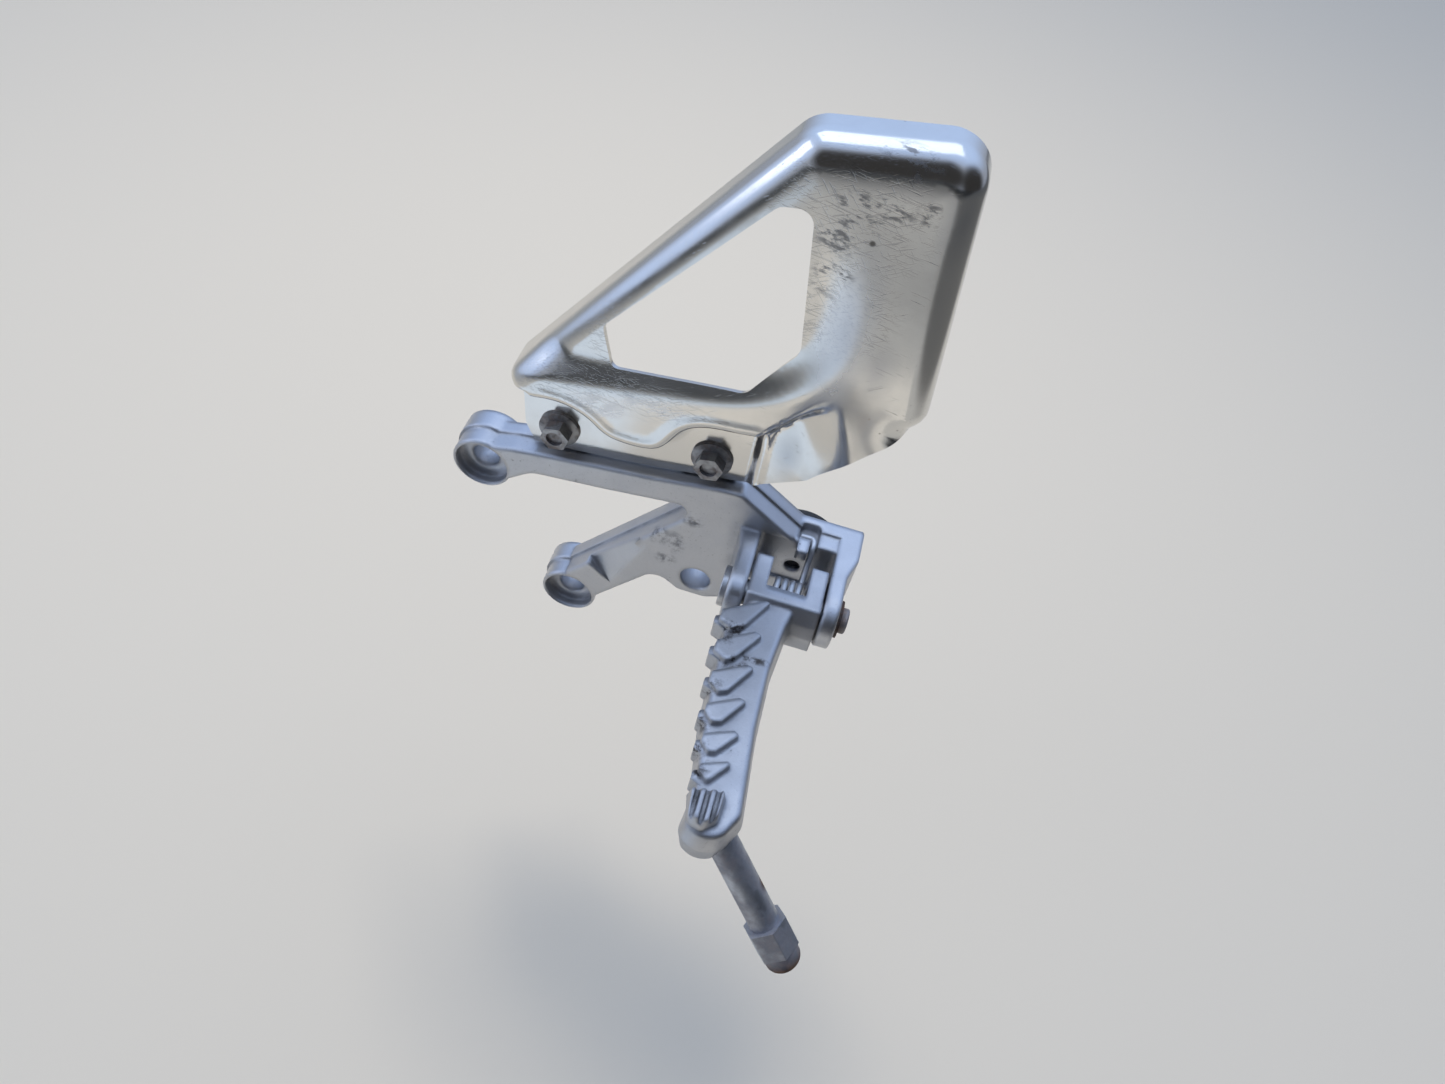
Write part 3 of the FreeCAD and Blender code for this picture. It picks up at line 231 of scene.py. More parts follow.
def scratches(nodes, turn, density=60.0, fine=2400.0):
    """Thin straight lines along the turned Z axis, broken up by a slow noise."""
    lines = nodes.noise(fine, 2.0, 0.6, nodes.stretched((1.0, 1.0, 28.0), turn))
    lines = nodes.ramp(lines, 0.66, 0.72)
    patches = nodes.ramp(nodes.noise(density, 2.0), 0.5, 0.62)
    return nodes.math("MULTIPLY", lines, patches)


def hairlines(nodes, turn, level):
    """Many fine short scratches along the turned Z axis."""
    place = nodes.stretched((1.0, 1.0, 20.0), turn, (0.003, 0.001, 0.002))
    lines = nodes.noise(3000.0, 1.0, 0.5, place)
    return nodes.ramp(lines, level, level + 0.05)


# Places in millimetres with their reach along X, Y and Z

WEB_GRIME = [((60.0, -16.0, -8.0), (6.0, 6.0, 6.0)), ((66.0, -16.0, -10.0), (5.0, 6.0, 7.0)),
             ((70.0, -16.0, 2.5), (5.0, 6.0, 3.0)), ((64.0, -16.0, -19.0), (5.0, 6.0, 4.0))]
PEG_GRIME = [((92.7, -51.4, 5.0), (5.5, 3.5, 4.0)), ((90.9, -56.1, 4.0), (4.0, 4.0, 5.0)),
             ((95.6, -63.0, 5.0), (6.0, 3.0, 4.0)), ((91.0, -72.0, 4.0), (5.0, 3.5, 5.0)),
             ((90.7, -83.7, 4.0), (4.5, 3.5, 5.0)), ((91.5, -92.0, 4.0), (4.5, 3.5, 5.0)),
             ((100.5, -59.5, 5.0), (6.0, 2.0, 3.0)), ((94.5, -98.0, 4.5), (4.0, 3.0, 4.0))]
FEELER_RUST = [((134.0, -124.2, -41.0), 13.0), ((117.5, -113.0, -18.5), 4.5), ((121.0, -115.5, -24.0), 3.5)]
PIN_RUST = [((122.0, -31.5, -2.2), 7.0)]


def cast_metal(name, color, roughness, corner_shade, stained, grimy, edge):
    """Worn cast aluminium; painted shade in its corners, grime at the stained places, soft edges."""
    nodes = Nodes(name)
    grain = nodes.noise(1500.0, 3.0, 0.6)
    waves = nodes.noise(140.0, 3.0)
    stains = nodes.ramp(nodes.noise(45.0, 4.0, 0.65), 0.45, 0.75)
    pits = nodes.ramp(nodes.cells(330.0), 0.0, 0.13, 1.0, 0.0)
    pits = nodes.math("MULTIPLY", pits, nodes.ramp(nodes.noise(90.0), 0.56, 0.66))
    marks = nodes.math("MAXIMUM", scratches(nodes, (20, 35, 10)), scratches(nodes, (0, -60, 25), 40.0))
    shade = nodes.mix(nodes.math("MULTIPLY", stains, 0.35), color, darker(color, 0.8))
    shade = nodes.mix(nodes.math("MULTIPLY", grain, 0.12), shade, GLINT)
    # Painted shade: occlusion darkens the corners that other surfaces crowd, blotched by a noise
    corners = nodes.crevice(5.0)
    corners = nodes.math("MULTIPLY", corners, nodes.ramp(nodes.noise(120.0, 4.0), 0.35, 0.65))
    shade = nodes.mix(nodes.math("MULTIPLY", corners, corner_shade), shade, CORNER_SHADE)
    shade = nodes.mix(nodes.math("MULTIPLY", marks, 0.5), shade, CUT)
    shade = nodes.mix(nodes.math("MULTIPLY", pits, 0.85), shade, PIT)
    rough = nodes.ramp(waves, 0.3, 0.7, roughness - 0.05, roughness + 0.07)
    rough = nodes.math("ADD", rough, nodes.math("MULTIPLY", corners, 0.3))
    grime = nodes.ramp(nodes.any_near(stained), 0.05, 0.6)
    grime = nodes.math("MULTIPLY", grime, nodes.ramp(nodes.noise(320.0, 5.0, 0.75), 0.46, 0.6))
    shade = nodes.mix(nodes.math("MULTIPLY", grime, grimy), shade, GREASE)
    rough = nodes.math("ADD", rough, nodes.math("MULTIPLY", grime, 0.3))
    normal = nodes.bump(grain, 0.09, 0.5, nodes.soft_edges(edge))
    normal = nodes.bump(waves, 0.25, 0.25, normal)
    cuts = nodes.math("MAXIMUM", pits, marks)
    normal = nodes.bump(nodes.math("SUBTRACT", 1.0, cuts), 0.1, 0.5, normal)
    return nodes.finish(shade, rough, normal)


# Places of the marks and painted reflections on the heel guard, written the same way

SCUFFS = [((92.0, -14.0, 124.0), (9.0, 9.0, 5.0)), ((100.0, -14.0, 125.0), (8.0, 9.0, 4.5)),
          ((89.5, -14.0, 114.0), (7.0, 9.0, 6.0)), ((101.0, -13.0, 137.3), (11.0, 9.0, 2.6)),
          ((102.5, -14.0, 133.2), (4.5, 9.0, 2.6)), ((108.5, -14.0, 126.0), (3.0, 9.0, 5.0)),
          ((95.0, -14.0, 119.0), (10.0, 9.0, 5.0)), ((91.0, -14.0, 104.0), (7.0, 9.0, 8.0))]
SCRATCHED = [((28.0, -17.0, 47.0), (22.0, 20.0, 11.0)), ((48.0, -17.0, 50.0), (26.0, 20.0, 9.0)),
             ((95.0, -15.0, 94.0), (18.0, 20.0, 16.0)), ((38.0, -15.0, 66.0), (9.0, 20.0, 14.0)),
             ((92.0, -15.0, 120.0), (22.0, 20.0, 20.0))]
# A rougher streak on the fold right of the window, with a painted bluish highlight in its colour
MATT_SHEEN_STREAK = [((98.0, -17.0, 90.0), (9.0, 14.0, 30.0))]
# Painted dark reflections at three places on the right of the sheet
DARK_REFLECTIONS = [((108.0, -17.0, 82.0), (7.0, 14.0, 12.0)), ((93.0, -12.0, 40.0), (5.0, 14.0, 10.0)),
        ((116.0, -14.0, 126.0), (6.0, 16.0, 14.0))]
# Rubbed wear on the sill below the window, whose colour also holds a painted bluish-white sky reflection
RUBBED_AND_SHEEN = [((37.0, -18.0, 43.0), (13.0, 12.0, 6.0)), ((52.0, -18.0, 48.5), (14.0, 12.0, 4.0))]


def polished_sheet():
    """Polished aluminium sheet with scuffs, scratches, rubbed patches with a painted bluish reflection, a
    matt streak with a painted bluish highlight, and painted dark reflections.
    """
    nodes = Nodes("polished_sheet")
    color = (0.76, 0.73, 0.675, 1.0)
    streaks = nodes.noise(500.0, 2.0, 0.5, nodes.stretched((1.0, 1.0, 22.0), (0, 96, 0)))
    waves = nodes.noise(24.0, 2.0)
    haze = nodes.noise(60.0, 4.0, 0.7)
    marks = nodes.math("MAXIMUM", scratches(nodes, (0, 100, 0), 70.0), scratches(nodes, (0, 55, 0), 55.0))
    dense = nodes.math("MAXIMUM", hairlines(nodes, (0, 98, 0), 0.61), hairlines(nodes, (0, 140, 0), 0.66))
    dense = nodes.math("MAXIMUM", dense, hairlines(nodes, (0, 62, 0), 0.64))
    scratched = nodes.ramp(nodes.any_near(SCRATCHED), 0.0, 0.45, 0.0, 0.7)
    dense = nodes.math("MULTIPLY", dense, scratched)
    marks = nodes.math("MAXIMUM", marks, dense)

    strokes = nodes.noise(620.0, 3.0, 0.7, nodes.stretched((1.0, 1.0, 2.6), (0, 98, 0)))
    patch = nodes.noise(150.0, 2.0, 0.6, nodes.stretched((1.0, 1.0, 1.6), (0, 98, 0)))
    scuffs = nodes.math("ADD", nodes.math("MULTIPLY", strokes, 0.55), nodes.math("MULTIPLY", patch, 0.45))
    scuffs = nodes.ramp(scuffs, 0.5, 0.57)
    scuffs = nodes.math("MULTIPLY", scuffs, nodes.ramp(nodes.any_near(SCUFFS), 0.1, 0.55))
    specks = nodes.ramp(nodes.cells(230.0), 0.0, 0.09, 1.0, 0.0)
    specks = nodes.math("MULTIPLY", specks, nodes.ramp(nodes.noise(75.0), 0.55, 0.62))
    dot = nodes.ramp(nodes.near((97.7, -14.5, 115.6), 1.4), 0.3, 0.6)
    specks = nodes.math("MAXIMUM", specks, dot)
    rubbed_and_sheen = nodes.ramp(nodes.any_near(RUBBED_AND_SHEEN), 0.0, 0.8)
    brushed = nodes.noise(480.0, 3.0, 0.7, nodes.stretched((1.0, 1.0, 4.0), (0, 62, 0)))
    rubbed_and_sheen = nodes.math("MULTIPLY", rubbed_and_sheen, nodes.ramp(brushed, 0.38, 0.6))
    matt_sheen = nodes.ramp(nodes.any_near(MATT_SHEEN_STREAK), 0.0, 0.9)

    shade = nodes.mix(nodes.ramp(haze, 0.35, 0.75, 0.0, 0.3), color, (0.58, 0.56, 0.53, 1.0))
    shade = nodes.mix(nodes.math("MULTIPLY", marks, 0.5), shade, (0.36, 0.36, 0.37, 1.0))
    # Painted reflection: the rubbed places are lightened to a bluish white
    shade = nodes.mix(nodes.math("MULTIPLY", rubbed_and_sheen, 0.4), shade, (0.86, 0.9, 0.97, 1.0))
    # Painted highlight: the matt streak is lightened to a bluish white
    shade = nodes.mix(nodes.math("MULTIPLY", matt_sheen, 0.5), shade, (0.84, 0.88, 0.95, 1.0))
    # Painted reflection: these places are darkened towards a dark grey
    dark_reflection = nodes.ramp(nodes.any_near(DARK_REFLECTIONS), 0.0, 0.9)
    shade = nodes.mix(nodes.math("MULTIPLY", dark_reflection, 0.5), shade, (0.34, 0.35, 0.38, 1.0))
    shade = nodes.mix(nodes.math("MULTIPLY", scuffs, 0.75), shade, (0.17, 0.165, 0.17, 1.0))
    shade = nodes.mix(nodes.math("MULTIPLY", specks, 0.8), shade, (0.07, 0.06, 0.05, 1.0))
    rough = nodes.ramp(haze, 0.3, 0.75, 0.12, 0.22)
    rough = nodes.math("ADD", rough, nodes.math("MULTIPLY", scuffs, 0.25))
    rough = nodes.math("ADD", rough, nodes.math("MULTIPLY", rubbed_and_sheen, 0.3))
    rough = nodes.math("ADD", rough, nodes.math("MULTIPLY", matt_sheen, 0.22))
    normal = nodes.bump(waves, 0.4, 0.25)
    normal = nodes.bump(streaks, 0.012, 0.3, normal)
    cuts = nodes.math("MAXIMUM", marks, nodes.math("MULTIPLY", scuffs, 0.15))
    cuts = nodes.math("MAXIMUM", cuts, specks)
    normal = nodes.bump(nodes.math("SUBTRACT", 1.0, cuts), 0.03, 0.5, normal)
    return nodes.finish(shade, rough, normal)


def stained_steel(name, color, roughness, rust, spots=160.0, worst=()):
    """Plated steel with rust in its corners and spots, solid at the worst places."""
    nodes = Nodes(name)
    grain = nodes.noise(1900.0, 3.0, 0.6)
    blotch = nodes.noise(spots, 4.0, 0.65)
    rusty = nodes.math("MULTIPLY", nodes.ramp(blotch, 0.42, 0.6), rust)
    corners = nodes.crevice(2.5)
    rusty = nodes.math("MAXIMUM", rusty, nodes.math("MULTIPLY", corners, rust))
    if worst:
        rusty = nodes.math("MAXIMUM", rusty, nodes.ramp(nodes.any_near(worst), 0.1, 0.5))
    brown = nodes.mix(nodes.ramp(nodes.noise(600.0), 0.35, 0.65), RUST_DARK, RUST_PALE)
    shade = nodes.mix(nodes.math("MULTIPLY", nodes.noise(70.0), 0.35), color, darker(color, 0.65))
    shade = nodes.mix(rusty, shade, brown)
    rough = nodes.math("ADD", nodes.ramp(grain, 0.3, 0.7, roughness - 0.04, roughness + 0.06),
                       nodes.math("MULTIPLY", rusty, 0.35))
    metallic = nodes.ramp(rusty, 0.0, 1.0, 1.0, 0.25)
    normal = nodes.bump(grain, 0.06, 0.5)
    normal = nodes.bump(blotch, 0.15, 0.5, normal)
    return nodes.finish(shade, rough, normal, metallic)


def rubber():
    """Black rubber with pale dust."""
    nodes = Nodes("black_rubber")
    grain = nodes.noise(1300.0, 3.0)
    dust = nodes.ramp(nodes.noise(90.0, 4.0), 0.45, 0.75, 0.0, 0.5)
    shade = nodes.mix(dust, (0.018, 0.018, 0.018, 1.0), (0.07, 0.065, 0.06, 1.0))
    rough = nodes.ramp(grain, 0.3, 0.7, 0.55, 0.75)
    return nodes.finish(shade, rough, nodes.bump(grain, 0.06, 0.5), 0.0)


def dress(name, material):
    """Gives a CAD node one material."""
    item = NODES[name]
    item.data.materials.clear()
    item.data.materials.append(material)


# Heel guard: a pressed sheet, drawn as a height over its outline, with a turned rim.
# Heights are measured from the panel's plane, and lengths are in millimetres.

GUARD_BACK = -0.6
GUARD_PANEL = -14.5
GUARD_BULGE = -3.0
GUARD_FLANGE = 4.5
SHEET = 1.8
RIM_RADIUS = 6.6
WALL_STEPS = 5

# Soft steps of the pressing: where each starts or stands, how deep and how wide it is
PANEL_RAMP = 13.0
FADE_TOP = 126.0
FADE_LENGTH = 52.0
RIDGE_START = -1.2
RIDGE_RAMP = 3.6
FLANGE_END = 82.6
FLANGE_RAMP = 5.6
BEAD = 0.55
BEAD_PLACE = -2.8
BEAD_WIDTH = 1.6
BEAD_LEFT = 14.0
BEAD_RAMP = 8.0
FACET_DEPTH = 8.0
FACET_REACH = 30.0
FACET_START = -1.5
FACET_RAMP = 5.0
FACET_FADE = 16.0
LIP = 1.4
LIP_PLACE = 83.4
LIP_RAMP = 3.4
RIM_HOLLOW = 0.9
RIM_HOLLOW_WIDTH = 15.0

# Points of the mesh: steps along lines and in the grid, and rows beside the rim and ridge
LINE_STEP = 0.9
GRID = 1.0
GRID_ROW = 0.9
SLIVER = 0.004
RIM_ROWS = (0.25, 0.8, 1.6, 2.6, 3.9, 5.4, 6.6)
RIM_CLEAR = 7.1
RIDGE_CLEAR = 5.0
RIDGE_LAST = 88.0
GRID_FIRST = (7.0, 12.0)
GRID_LAST = (127.0, 142.0)
RIDGE_ROWS = (-4.4, -3.6, -2.9, -2.2, -1.5, -0.8, -0.2, 0.5, 1.2, 2.0, 2.9, 4.0)

RIM_CORNERS = [(9.4, 37.4, 0), (8.0, 41.0, 5), (76.8, 135.2, 10), (109.0, 141.0, 9),
               (118.2, 138.6, 10), (126.0, 67.0, 7), (122.4, 62.6, 0)]
LOWER_CORNERS = [(114.0, 53.5, 12), (106.0, 43.0, 9), (100.3, 35.5, 6), (91.5, 28.8, 5),
                 (86.9, 25.2, 3), (82.5, 21.9, 3), (75.5, 20.7, 9), (55.0, 17.3, 9),
                 (26.0, 13.8, 9), (16.5, 12.9, 3), (13.0, 20.0, 5), (12.2, 33.0, 5)]
WINDOW = [(35.4, 68.6, 2.2), (39.0, 56.0, 2.4), (77.2, 61.6, 4.5), (88.6, 78.6, 6),
          (82.9, 119.6, 4), (74.6, 118.0, 3.5)]
RIDGE = [(-10.0, 36.4), (10.0, 36.8), (16.4, 37.4), (21.0, 38.6), (25.5, 38.9), (30.5, 37.8),
         (34.9, 35.3), (38.0, 32.4), (41.4, 30.7), (46.0, 30.1), (50.6, 30.3), (54.2, 31.0),
         (57.0, 32.6), (59.0, 35.2), (60.6, 38.4), (62.6, 41.8), (66.0, 44.6), (71.0, 46.2),
         (78.5, 46.9), (84.3, 47.9), (140.0, 50.0)]
PANEL_EDGE = [(80.0, 150.0), (85.9, 130.8), (89.6, 119.2), (92.7, 109.2), (95.5, 99.0),
              (96.4, 90.0), (95.2, 81.0), (91.0, 73.5), (84.0, 66.5), (75.4, 61.8), (64.0, 58.8),
              (52.8, 56.6), (38.7, 53.4), (21.9, 50.4), (-20.0, 47.0)]
FACET_LINE = [(79.5, 10.0), (79.5, 42.0), (84.3, 47.9), (99.8, 67.7)]
FACET_END = ((101.5, 70.0), (112.0, 49.0))


def smooth(value):
    """A soft step from 0 to 1."""
    share = max(0.0, min(1.0, value))
    return share * share * (3.0 - 2.0 * share)


def rounded(corners, closed=True, step=LINE_STEP):
    """Points along a polygon of (x, z, radius) corners, with arcs at the corners."""
    points = []
    count = len(corners)
    for index, (x, z, radius) in enumerate(corners):
        corner = Vector((x, z))
        if radius <= 0 or (not closed and index in (0, count - 1)):
            points.append(corner)
            continue
        before = (Vector(corners[index - 1][:2]) - corner).normalized()
        after = (Vector(corners[(index + 1) % count][:2]) - corner).normalized()
        half = before.angle(after) / 2.0
        reach = radius / math.tan(half)
        centre = corner + (before + after).normalized() * (radius / math.sin(half))
        start = corner + before * reach - centre
        sweep = start.angle_signed(corner + after * reach - centre)
        parts = max(2, int(abs(sweep) * radius / step))
        for part in range(parts + 1):
            angle = -sweep * part / parts
            points.append(centre + Vector((start.x * math.cos(angle) - start.y * math.sin(angle),
                                           start.x * math.sin(angle) + start.y * math.cos(angle))))
    return divided(points, closed, step)


def divided(points, closed, step):
    """The same line with points no further apart than the step."""
    result = []
    pairs = list(zip(points, points[1:] + points[:1])) if closed else list(zip(points, points[1:]))
    for start, end in pairs:
        parts = max(1, int(math.ceil((end - start).length / step)))
        result += [start.lerp(end, part / parts) for part in range(parts)]
    if not closed:
        result.append(points[-1])
    return result


def segment_distance(point, start, end):
    """Distance to one straight piece, and the side of it that the point is on."""
    along = end - start
    offset = point - start
    share = max(0.0, min(1.0, offset.dot(along) / max(1e-12, along.length_squared)))
    side = 1.0 if along.x * offset.y - along.y * offset.x < 0 else -1.0
    return (offset - along * share).length, side


def line_distance(point, line):
    """Distance to a line of points, and whether the point is on its right-hand side."""
    return min((segment_distance(point, start, end) for start, end in zip(line, line[1:])),
               key=lambda found: found[0])


class DenseLine:
    """A finely divided line with a quick search for the distance to it."""

    def __init__(self, points, closed):
        self.points = list(points)
        self.closed = closed
        self.tree = KDTree(len(points))
        for index, point in enumerate(points):
            self.tree.insert((point.x, point.y, 0.0), index)
        self.tree.balance()

    def distance(self, point):
        _, index, _ = self.tree.find((point.x, point.y, 0.0))
        count = len(self.points)
        around = []
        for near in (index - 1, index + 1):
            if self.closed:
                near %= count
            if 0 <= near < count:
                around.append(segment_distance(point, self.points[index], self.points[near])[0])
        return min(around)


def past(point, line):
    """Signed distance to a line, positive on its right-hand side."""
    distance, side = line_distance(point, line)
    return distance * side


def inside(point, polygon):
    """Whether a point lies inside a closed line of points."""
    hit = False
    for start, end in zip(polygon, polygon[1:] + polygon[:1]):
        if (start.y > point.y) != (end.y > point.y):
            if point.x < start.x + (end.x - start.x) * (point.y - start.y) / (end.y - start.y):
                hit = not hit
    return hit


def softened(line):
    """An open line with its corners cut off twice."""
    points = [Vector(point) for point in line]
    for _ in range(2):
        cut = [points[0]]
        for start, end in zip(points, points[1:]):
            cut += [start.lerp(end, 0.25), start.lerp(end, 0.75)]
        points = cut + [points[-1]]
    return points


LINES = {"ridge": softened(RIDGE), "panel": softened(PANEL_EDGE), "facet": softened(FACET_LINE),
         "end": [Vector(point) for point in FACET_END]}


def pressed_height(point, rim):
    """Depth of the guard's front face behind the panel's plane, in millimetres."""
    x, z = point
    panel = smooth(0.5 - past(point, LINES["panel"]) / PANEL_RAMP)
    height = GUARD_BULGE * panel * smooth((FADE_TOP - z) / FADE_LENGTH)

    under = past(point, LINES["ridge"])
    left = 1.0 - smooth((x - FLANGE_END) / FLANGE_RAMP)
    to_flange = smooth((under - RIDGE_START) / RIDGE_RAMP) * left
    bead = math.exp(-((under - BEAD_PLACE) / BEAD_WIDTH) ** 2)
    height -= BEAD * bead * left * smooth((x - BEAD_LEFT) / BEAD_RAMP)
    off = past(point, LINES["facet"])
    end = past(point, LINES["end"])
    sunk = (FACET_DEPTH - LIP * smooth((x - LIP_PLACE) / LIP_RAMP)) * max(0.0, 1.0 - off / FACET_REACH)
    sunk *= smooth((off - FACET_START) / FACET_RAMP) * smooth(end / FACET_FADE)
    height += sunk * (1.0 - to_flange)
    height += (GUARD_FLANGE - height) * to_flange

    edge = rim.distance(point)
    height += RIM_HOLLOW * smooth((RIM_HOLLOW_WIDTH - edge) / RIM_HOLLOW_WIDTH) ** 2 * (1.0 - to_flange)
    if edge < RIM_RADIUS:
        height += RIM_RADIUS - math.sqrt(max(0.0, RIM_RADIUS ** 2 - (RIM_RADIUS - edge) ** 2))
    return height


def guard_points(outline, rim, window):
    """Outline, window and rim rings, then a grid in what is left."""
    border = DenseLine(outline, True)
    hole = DenseLine(window, True)
    edge = DenseLine(rim, False)
    points = list(outline) + list(window)
    for ring in RIM_ROWS:
        inner = []
        for before, here, after in zip(rim, rim[1:], rim[2:]):
            along = (after - before).normalized()
            inner.append(here + Vector((along.y, -along.x)) * ring)
        points += [point for point in inner if edge.distance(point) > ring - 0.05]
    ridge = divided(LINES["ridge"], False, LINE_STEP)
    for before, here, after in zip(ridge, ridge[1:], ridge[2:]):
        along = (after - before).normalized()
        for offset in RIDGE_ROWS:
            point = here + Vector((along.y, -along.x)) * offset
            if point.x > RIDGE_LAST or abs(past(point, LINES["ridge"])) < abs(offset) - 0.1:
                continue
            if inside(point, outline) and border.distance(point) > 0.6 and edge.distance(point) > RIM_CLEAR:
                points.append(point)
    row = GRID_FIRST[1]
    while row < GRID_LAST[1]:
        column = GRID_FIRST[0] + (0.5 * GRID if int(row / GRID) % 2 else 0.0)
        while column < GRID_LAST[0]:
            point = Vector((column, row))
            free = point.x > RIDGE_LAST or abs(past(point, LINES["ridge"])) > RIDGE_CLEAR
            room = min(edge.distance(point) - RIM_ROWS[-1], border.distance(point), hole.distance(point))
            if free and room > 0.5 and inside(point, outline) and not inside(point, window):
                points.append(point)
            column += GRID
        row += GRID_ROW
    return points


def make_guard():
    """The pressed sheet as a mesh of triangles, with its rim's wall, given its thickness."""
    rim = rounded(RIM_CORNERS, False)
    lower = rounded([RIM_CORNERS[-1]] + LOWER_CORNERS + [RIM_CORNERS[0]], False)
    outline = rim + lower[1:-1]
    window = rounded(WINDOW)
    count = len(outline)
    points = guard_points(outline, rim, window)
    edges = [(index, (index + 1) % count) for index in range(count)]
    edges += [(count + index, count + (index + 1) % len(window)) for index in range(len(window))]
    flat, _, faces, sources, _, _ = delaunay_2d_cdt(points, edges, [], 0, 1e-5)
    found = {source: number for number, group in enumerate(sources) for source in group}
    kept = []
    for face in faces:
        first, second, third = (flat[index] for index in face)
        middle = (first + second + third) / 3.0
        area = abs((second - first).cross(third - first)) / 2.0
        if area > SLIVER and inside(middle, outline) and not inside(middle, window):
            kept.append(tuple(face))
    edge = DenseLine(rim, False)
    verts = [(x, GUARD_PANEL + pressed_height(Vector((x, z)), edge), z) for x, z in flat]
    last = []
    for source, point in enumerate(rim):
        number = found[source]
        top = verts[number][1]
        column = [number]
        for step in range(1, WALL_STEPS + 1):
            verts.append((point.x, top + (GUARD_BACK - top) * step / WALL_STEPS, point.y))
            column.append(len(verts) - 1)
        if last:
            kept += [(last[k], column[k], column[k + 1], last[k + 1]) for k in range(WALL_STEPS)]
        last = column
    mesh = bpy.data.meshes.new("guard_sheet")
    mesh.from_pydata([[c * MM for c in vert] for vert in verts], [], kept)
    return sheet_of(mesh, "guard_sheet", SHEET)


def sheet_of(mesh, name, thickness):
    """Turns a surface that faces outward into a sheet of even thickness."""
    work = bmesh.new()
    work.from_mesh(mesh)
    bmesh.ops.recalc_face_normals(work, faces=work.faces)
    front = max(work.faces, key=lambda face: -face.calc_center_median().y)
    if front.normal.y > 0:
        bmesh.ops.reverse_faces(work, faces=work.faces)
    work.to_mesh(mesh)
    work.free()
    item = bpy.data.objects.new(name, mesh)
    bpy.context.scene.collection.objects.link(item)
    solid = item.modifiers.new("thickness", "SOLIDIFY")
    solid.thickness = thickness * MM
    solid.offset = -1.0
    solid.use_quality_normals = True
    bpy.context.view_layer.update()
    ready = item.evaluated_get(bpy.context.evaluated_depsgraph_get())
    item.data = bpy.data.meshes.new_from_object(ready)
    item.modifiers.clear()
    item.data.name = name
    item.data.shade_smooth()
    item.data.set_sharp_from_angle(angle=math.radians(38.0))
    return item


# Stage

def maths(tree, operation, *values):
    """A math node in a material or world, fed with numbers and outputs."""
    node = tree.nodes.new("ShaderNodeMath")
    node.operation = operation
    for socket, value in zip(node.inputs, values):
        feed(tree, socket, value)
    return node.outputs[0]


def soft_step(tree, source, start, end, low=0.0, high=1.0):
    """Goes softly from low at the start to high at the end."""
    node = tree.nodes.new("ShaderNodeMapRange")
    node.interpolation_type = "SMOOTHSTEP"
    tree.links.new(source, node.inputs["Value"])
    node.inputs["From Min"].default_value = start
    node.inputs["From Max"].default_value = end
    node.inputs["To Min"].default_value = low
    node.inputs["To Max"].default_value = high
    return node.outputs["Result"]


def color_mix(tree, share, first, second):
    """The first colour where the share is 0, the second where it is 1."""
    node = tree.nodes.new("ShaderNodeMix")
    node.data_type = "RGBA"
    feed(tree, node.inputs["Factor"], share)
    feed(tree, node.inputs[6], first)
    feed(tree, node.inputs[7], second)
    return node.outputs[2]


def floor_material():
    """A floor that the camera sees pale everywhere, and that other rays find dark far in
    front and far to the right. It shines by itself for the camera and in mirrors only."""
    material = bpy.data.materials.new("floor_tone")
    material.use_nodes = True
    tree = material.node_tree
    shader = tree.nodes["Principled BSDF"]
    shader.inputs["Roughness"].default_value = 0.9
    shader.inputs["Specular IOR Level"].default_value = 0.1
    path = tree.nodes.new("ShaderNodeLightPath")
    seen = maths(tree, "MAXIMUM", path.outputs["Is Camera Ray"], path.outputs["Is Glossy Ray"])
    seen = maths(tree, "MAXIMUM", seen, path.outputs["Is Transmission Ray"])
    place = tree.nodes.new("ShaderNodeTexCoord")
    split = tree.nodes.new("ShaderNodeSeparateXYZ")
    tree.links.new(place.outputs["Object"], split.inputs[0])
    front = soft_step(tree, split.outputs["Y"], *FLOOR_FRONT)
    skewed = maths(tree, "MULTIPLY_ADD", split.outputs["Y"], FLOOR_SKEW, split.outputs["X"])
    side = soft_step(tree, skewed, *FLOOR_SIDE)
    pale = maths(tree, "MULTIPLY", front, side)
    pale = maths(tree, "MAXIMUM", pale, path.outputs["Is Camera Ray"])
    for tone, socket in ((FLOOR_COLOR, "Base Color"), (FLOOR_TONE, "Emission Color")):
        tree.links.new(color_mix(tree, pale, BLACK, tone), shader.inputs[socket])
    tree.links.new(seen, shader.inputs["Emission Strength"])
    return material


def add_floor():
    mesh = bpy.data.meshes.new("floor")
    half = FLOOR_SIZE / 2
    corners = [(-half, -half, FLOOR_HEIGHT), (half, -half, FLOOR_HEIGHT), (half, half, FLOOR_HEIGHT),
               (-half, half, FLOOR_HEIGHT)]
    mesh.from_pydata(corners, [], [(0, 1, 2, 3)])
    floor = bpy.data.objects.new("floor", mesh)
    bpy.context.scene.collection.objects.link(floor)
    mesh.materials.append(floor_material())


def add_world():
    """Soft room: dark towards the front horizon, cool and bright overhead and behind."""
    world = bpy.data.worlds.new("studio")
    bpy.context.scene.world = world
    world.use_nodes = True
    tree = world.node_tree
    back = tree.nodes["Background"]
    place = tree.nodes.new("ShaderNodeTexCoord")

    def toward(direction, start, end):
        """1 in one direction, falling to 0 away from it, by the cosine of the angle."""
        dot = tree.nodes.new("ShaderNodeVectorMath")
        dot.operation = "DOT_PRODUCT"
        tree.links.new(place.outputs["Generated"], dot.inputs[0])
        dot.inputs[1].default_value = Vector(direction).normalized()
        return soft_step(tree, dot.outputs["Value"], start, end)

    room = ROOM_PALE
    for direction, start, end, color in ROOM_PATCHES:
        room = color_mix(tree, toward(direction, start, end), room, color)
    path = tree.nodes.new("ShaderNodeLightPath")
    shown = color_mix(tree, path.outputs["Is Camera Ray"], room, BACKGROUND)
    tree.links.new(shown, back.inputs["Color"])
    back.inputs["Strength"].default_value = 1.0


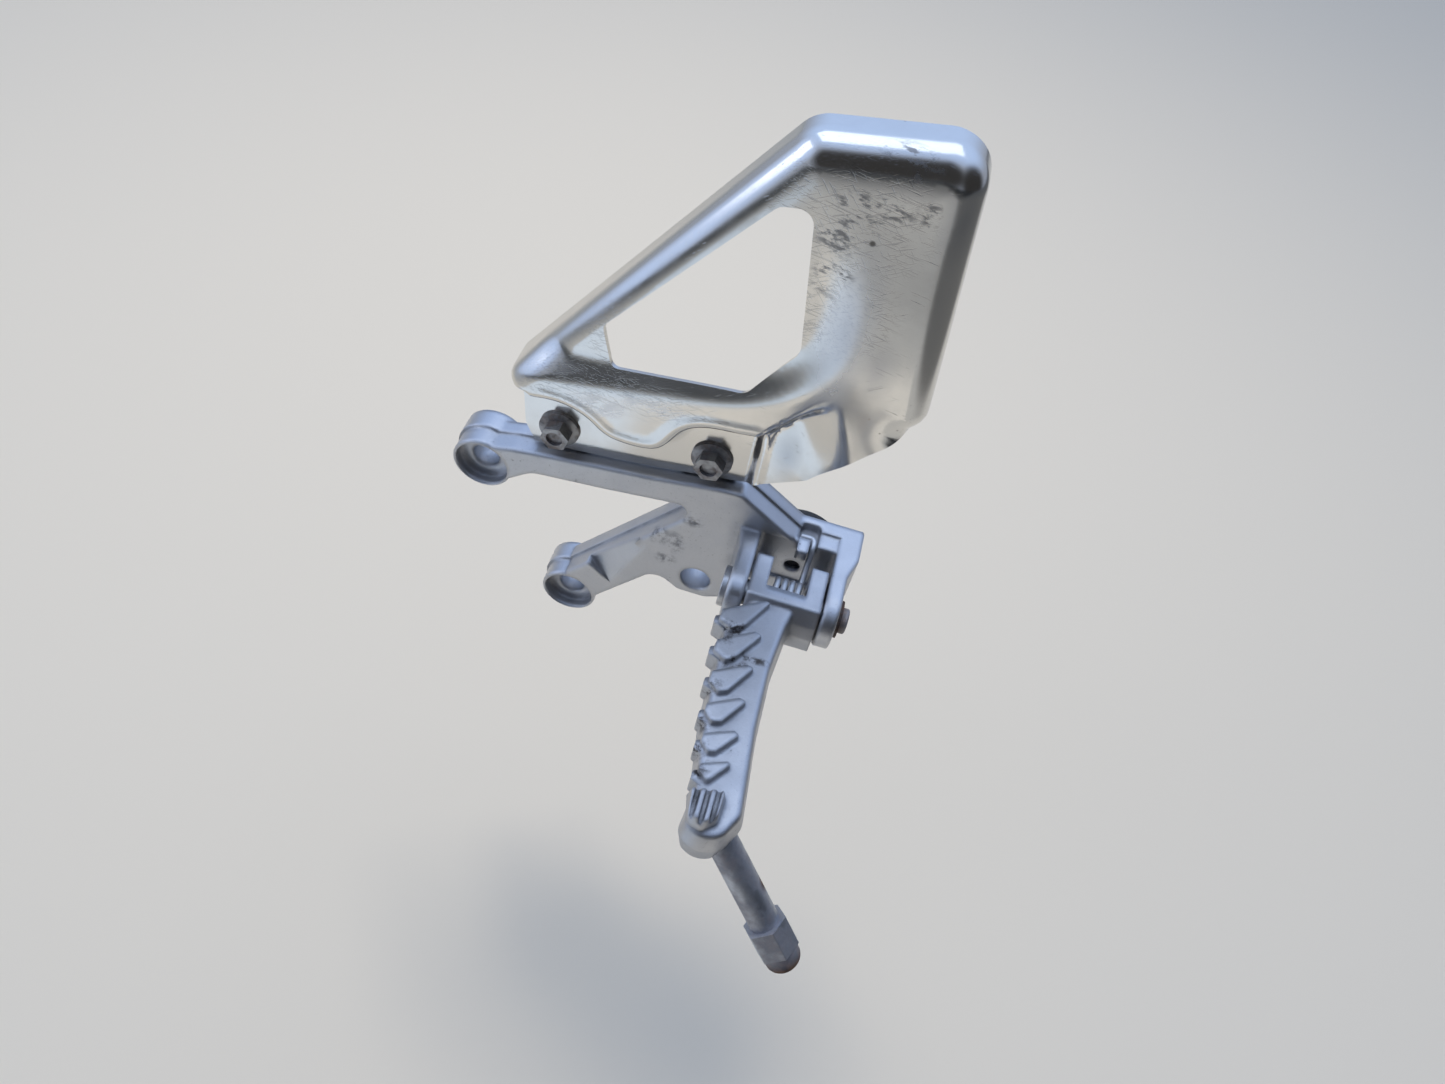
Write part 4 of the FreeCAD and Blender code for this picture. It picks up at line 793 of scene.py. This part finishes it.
def add_light(name, place, target, size, power, color, mirrored):
    data = bpy.data.lights.new(name, "AREA")
    data.shape = "RECTANGLE"
    data.size = size[0]
    data.size_y = size[1]
    data.energy = power
    data.color = color
    light = bpy.data.objects.new(name, data)
    bpy.context.scene.collection.objects.link(light)
    light.location = place
    aim = Vector(target) - Vector(place)
    light.rotation_euler = aim.to_track_quat("-Z", "Y").to_euler()
    light.visible_glossy = mirrored


def add_camera():
    data = bpy.data.cameras.new("camera")
    data.sensor_width = SENSOR
    data.lens = FOCAL_PIXELS * SENSOR / IMAGE_WIDTH
    data.clip_start = 0.01
    camera = bpy.data.objects.new("camera", data)
    bpy.context.scene.collection.objects.link(camera)
    right = CAMERA_RIGHT.normalized()
    up = (CAMERA_UP - right * CAMERA_UP.dot(right)).normalized()
    back = right.cross(up)
    turn = Matrix((right, up, back)).transposed().to_4x4()
    camera.matrix_world = Matrix.Translation(CAMERA_PLACE) @ turn
    bpy.context.scene.camera = camera


add_floor()
add_world()
for lamp in LAMPS:
    add_light(*lamp)
add_camera()

dress("hanger", cast_metal("cast_aluminium", (0.52, 0.52, 0.53, 1.0), 0.4, 0.5, WEB_GRIME, 0.4, 2.2))
dress("footpeg", cast_metal("footpeg_cast", (0.46, 0.46, 0.47, 1.0), 0.42, 0.6, PEG_GRIME, 0.85, 1.8))
guard = make_guard()
guard.data.materials.append(polished_sheet())
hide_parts("heel_guard")
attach(guard, "hanger_body")
dress("heel_guard_bolts", stained_steel("zinc_bolts", (0.4, 0.4, 0.4, 1.0), 0.4, 0.6))
dress("feeler_bolt", stained_steel("feeler_steel", (0.48, 0.5, 0.54, 1.0), 0.42, 0.4, 110.0, FEELER_RUST))
dress("pivot_pin", stained_steel("pin_steel", (0.6, 0.6, 0.6, 1.0), 0.35, 0.35, 160.0, PIN_RUST))
dress("retaining_clip", stained_steel("dark_steel", (0.12, 0.1, 0.09, 1.0), 0.5, 0.9))
dress("return_spring", stained_steel("spring_steel", (0.66, 0.66, 0.66, 1.0), 0.45, 0.08))
dress("rear_buffer", rubber())

scene = bpy.context.scene
scene.view_settings.view_transform = "Standard"
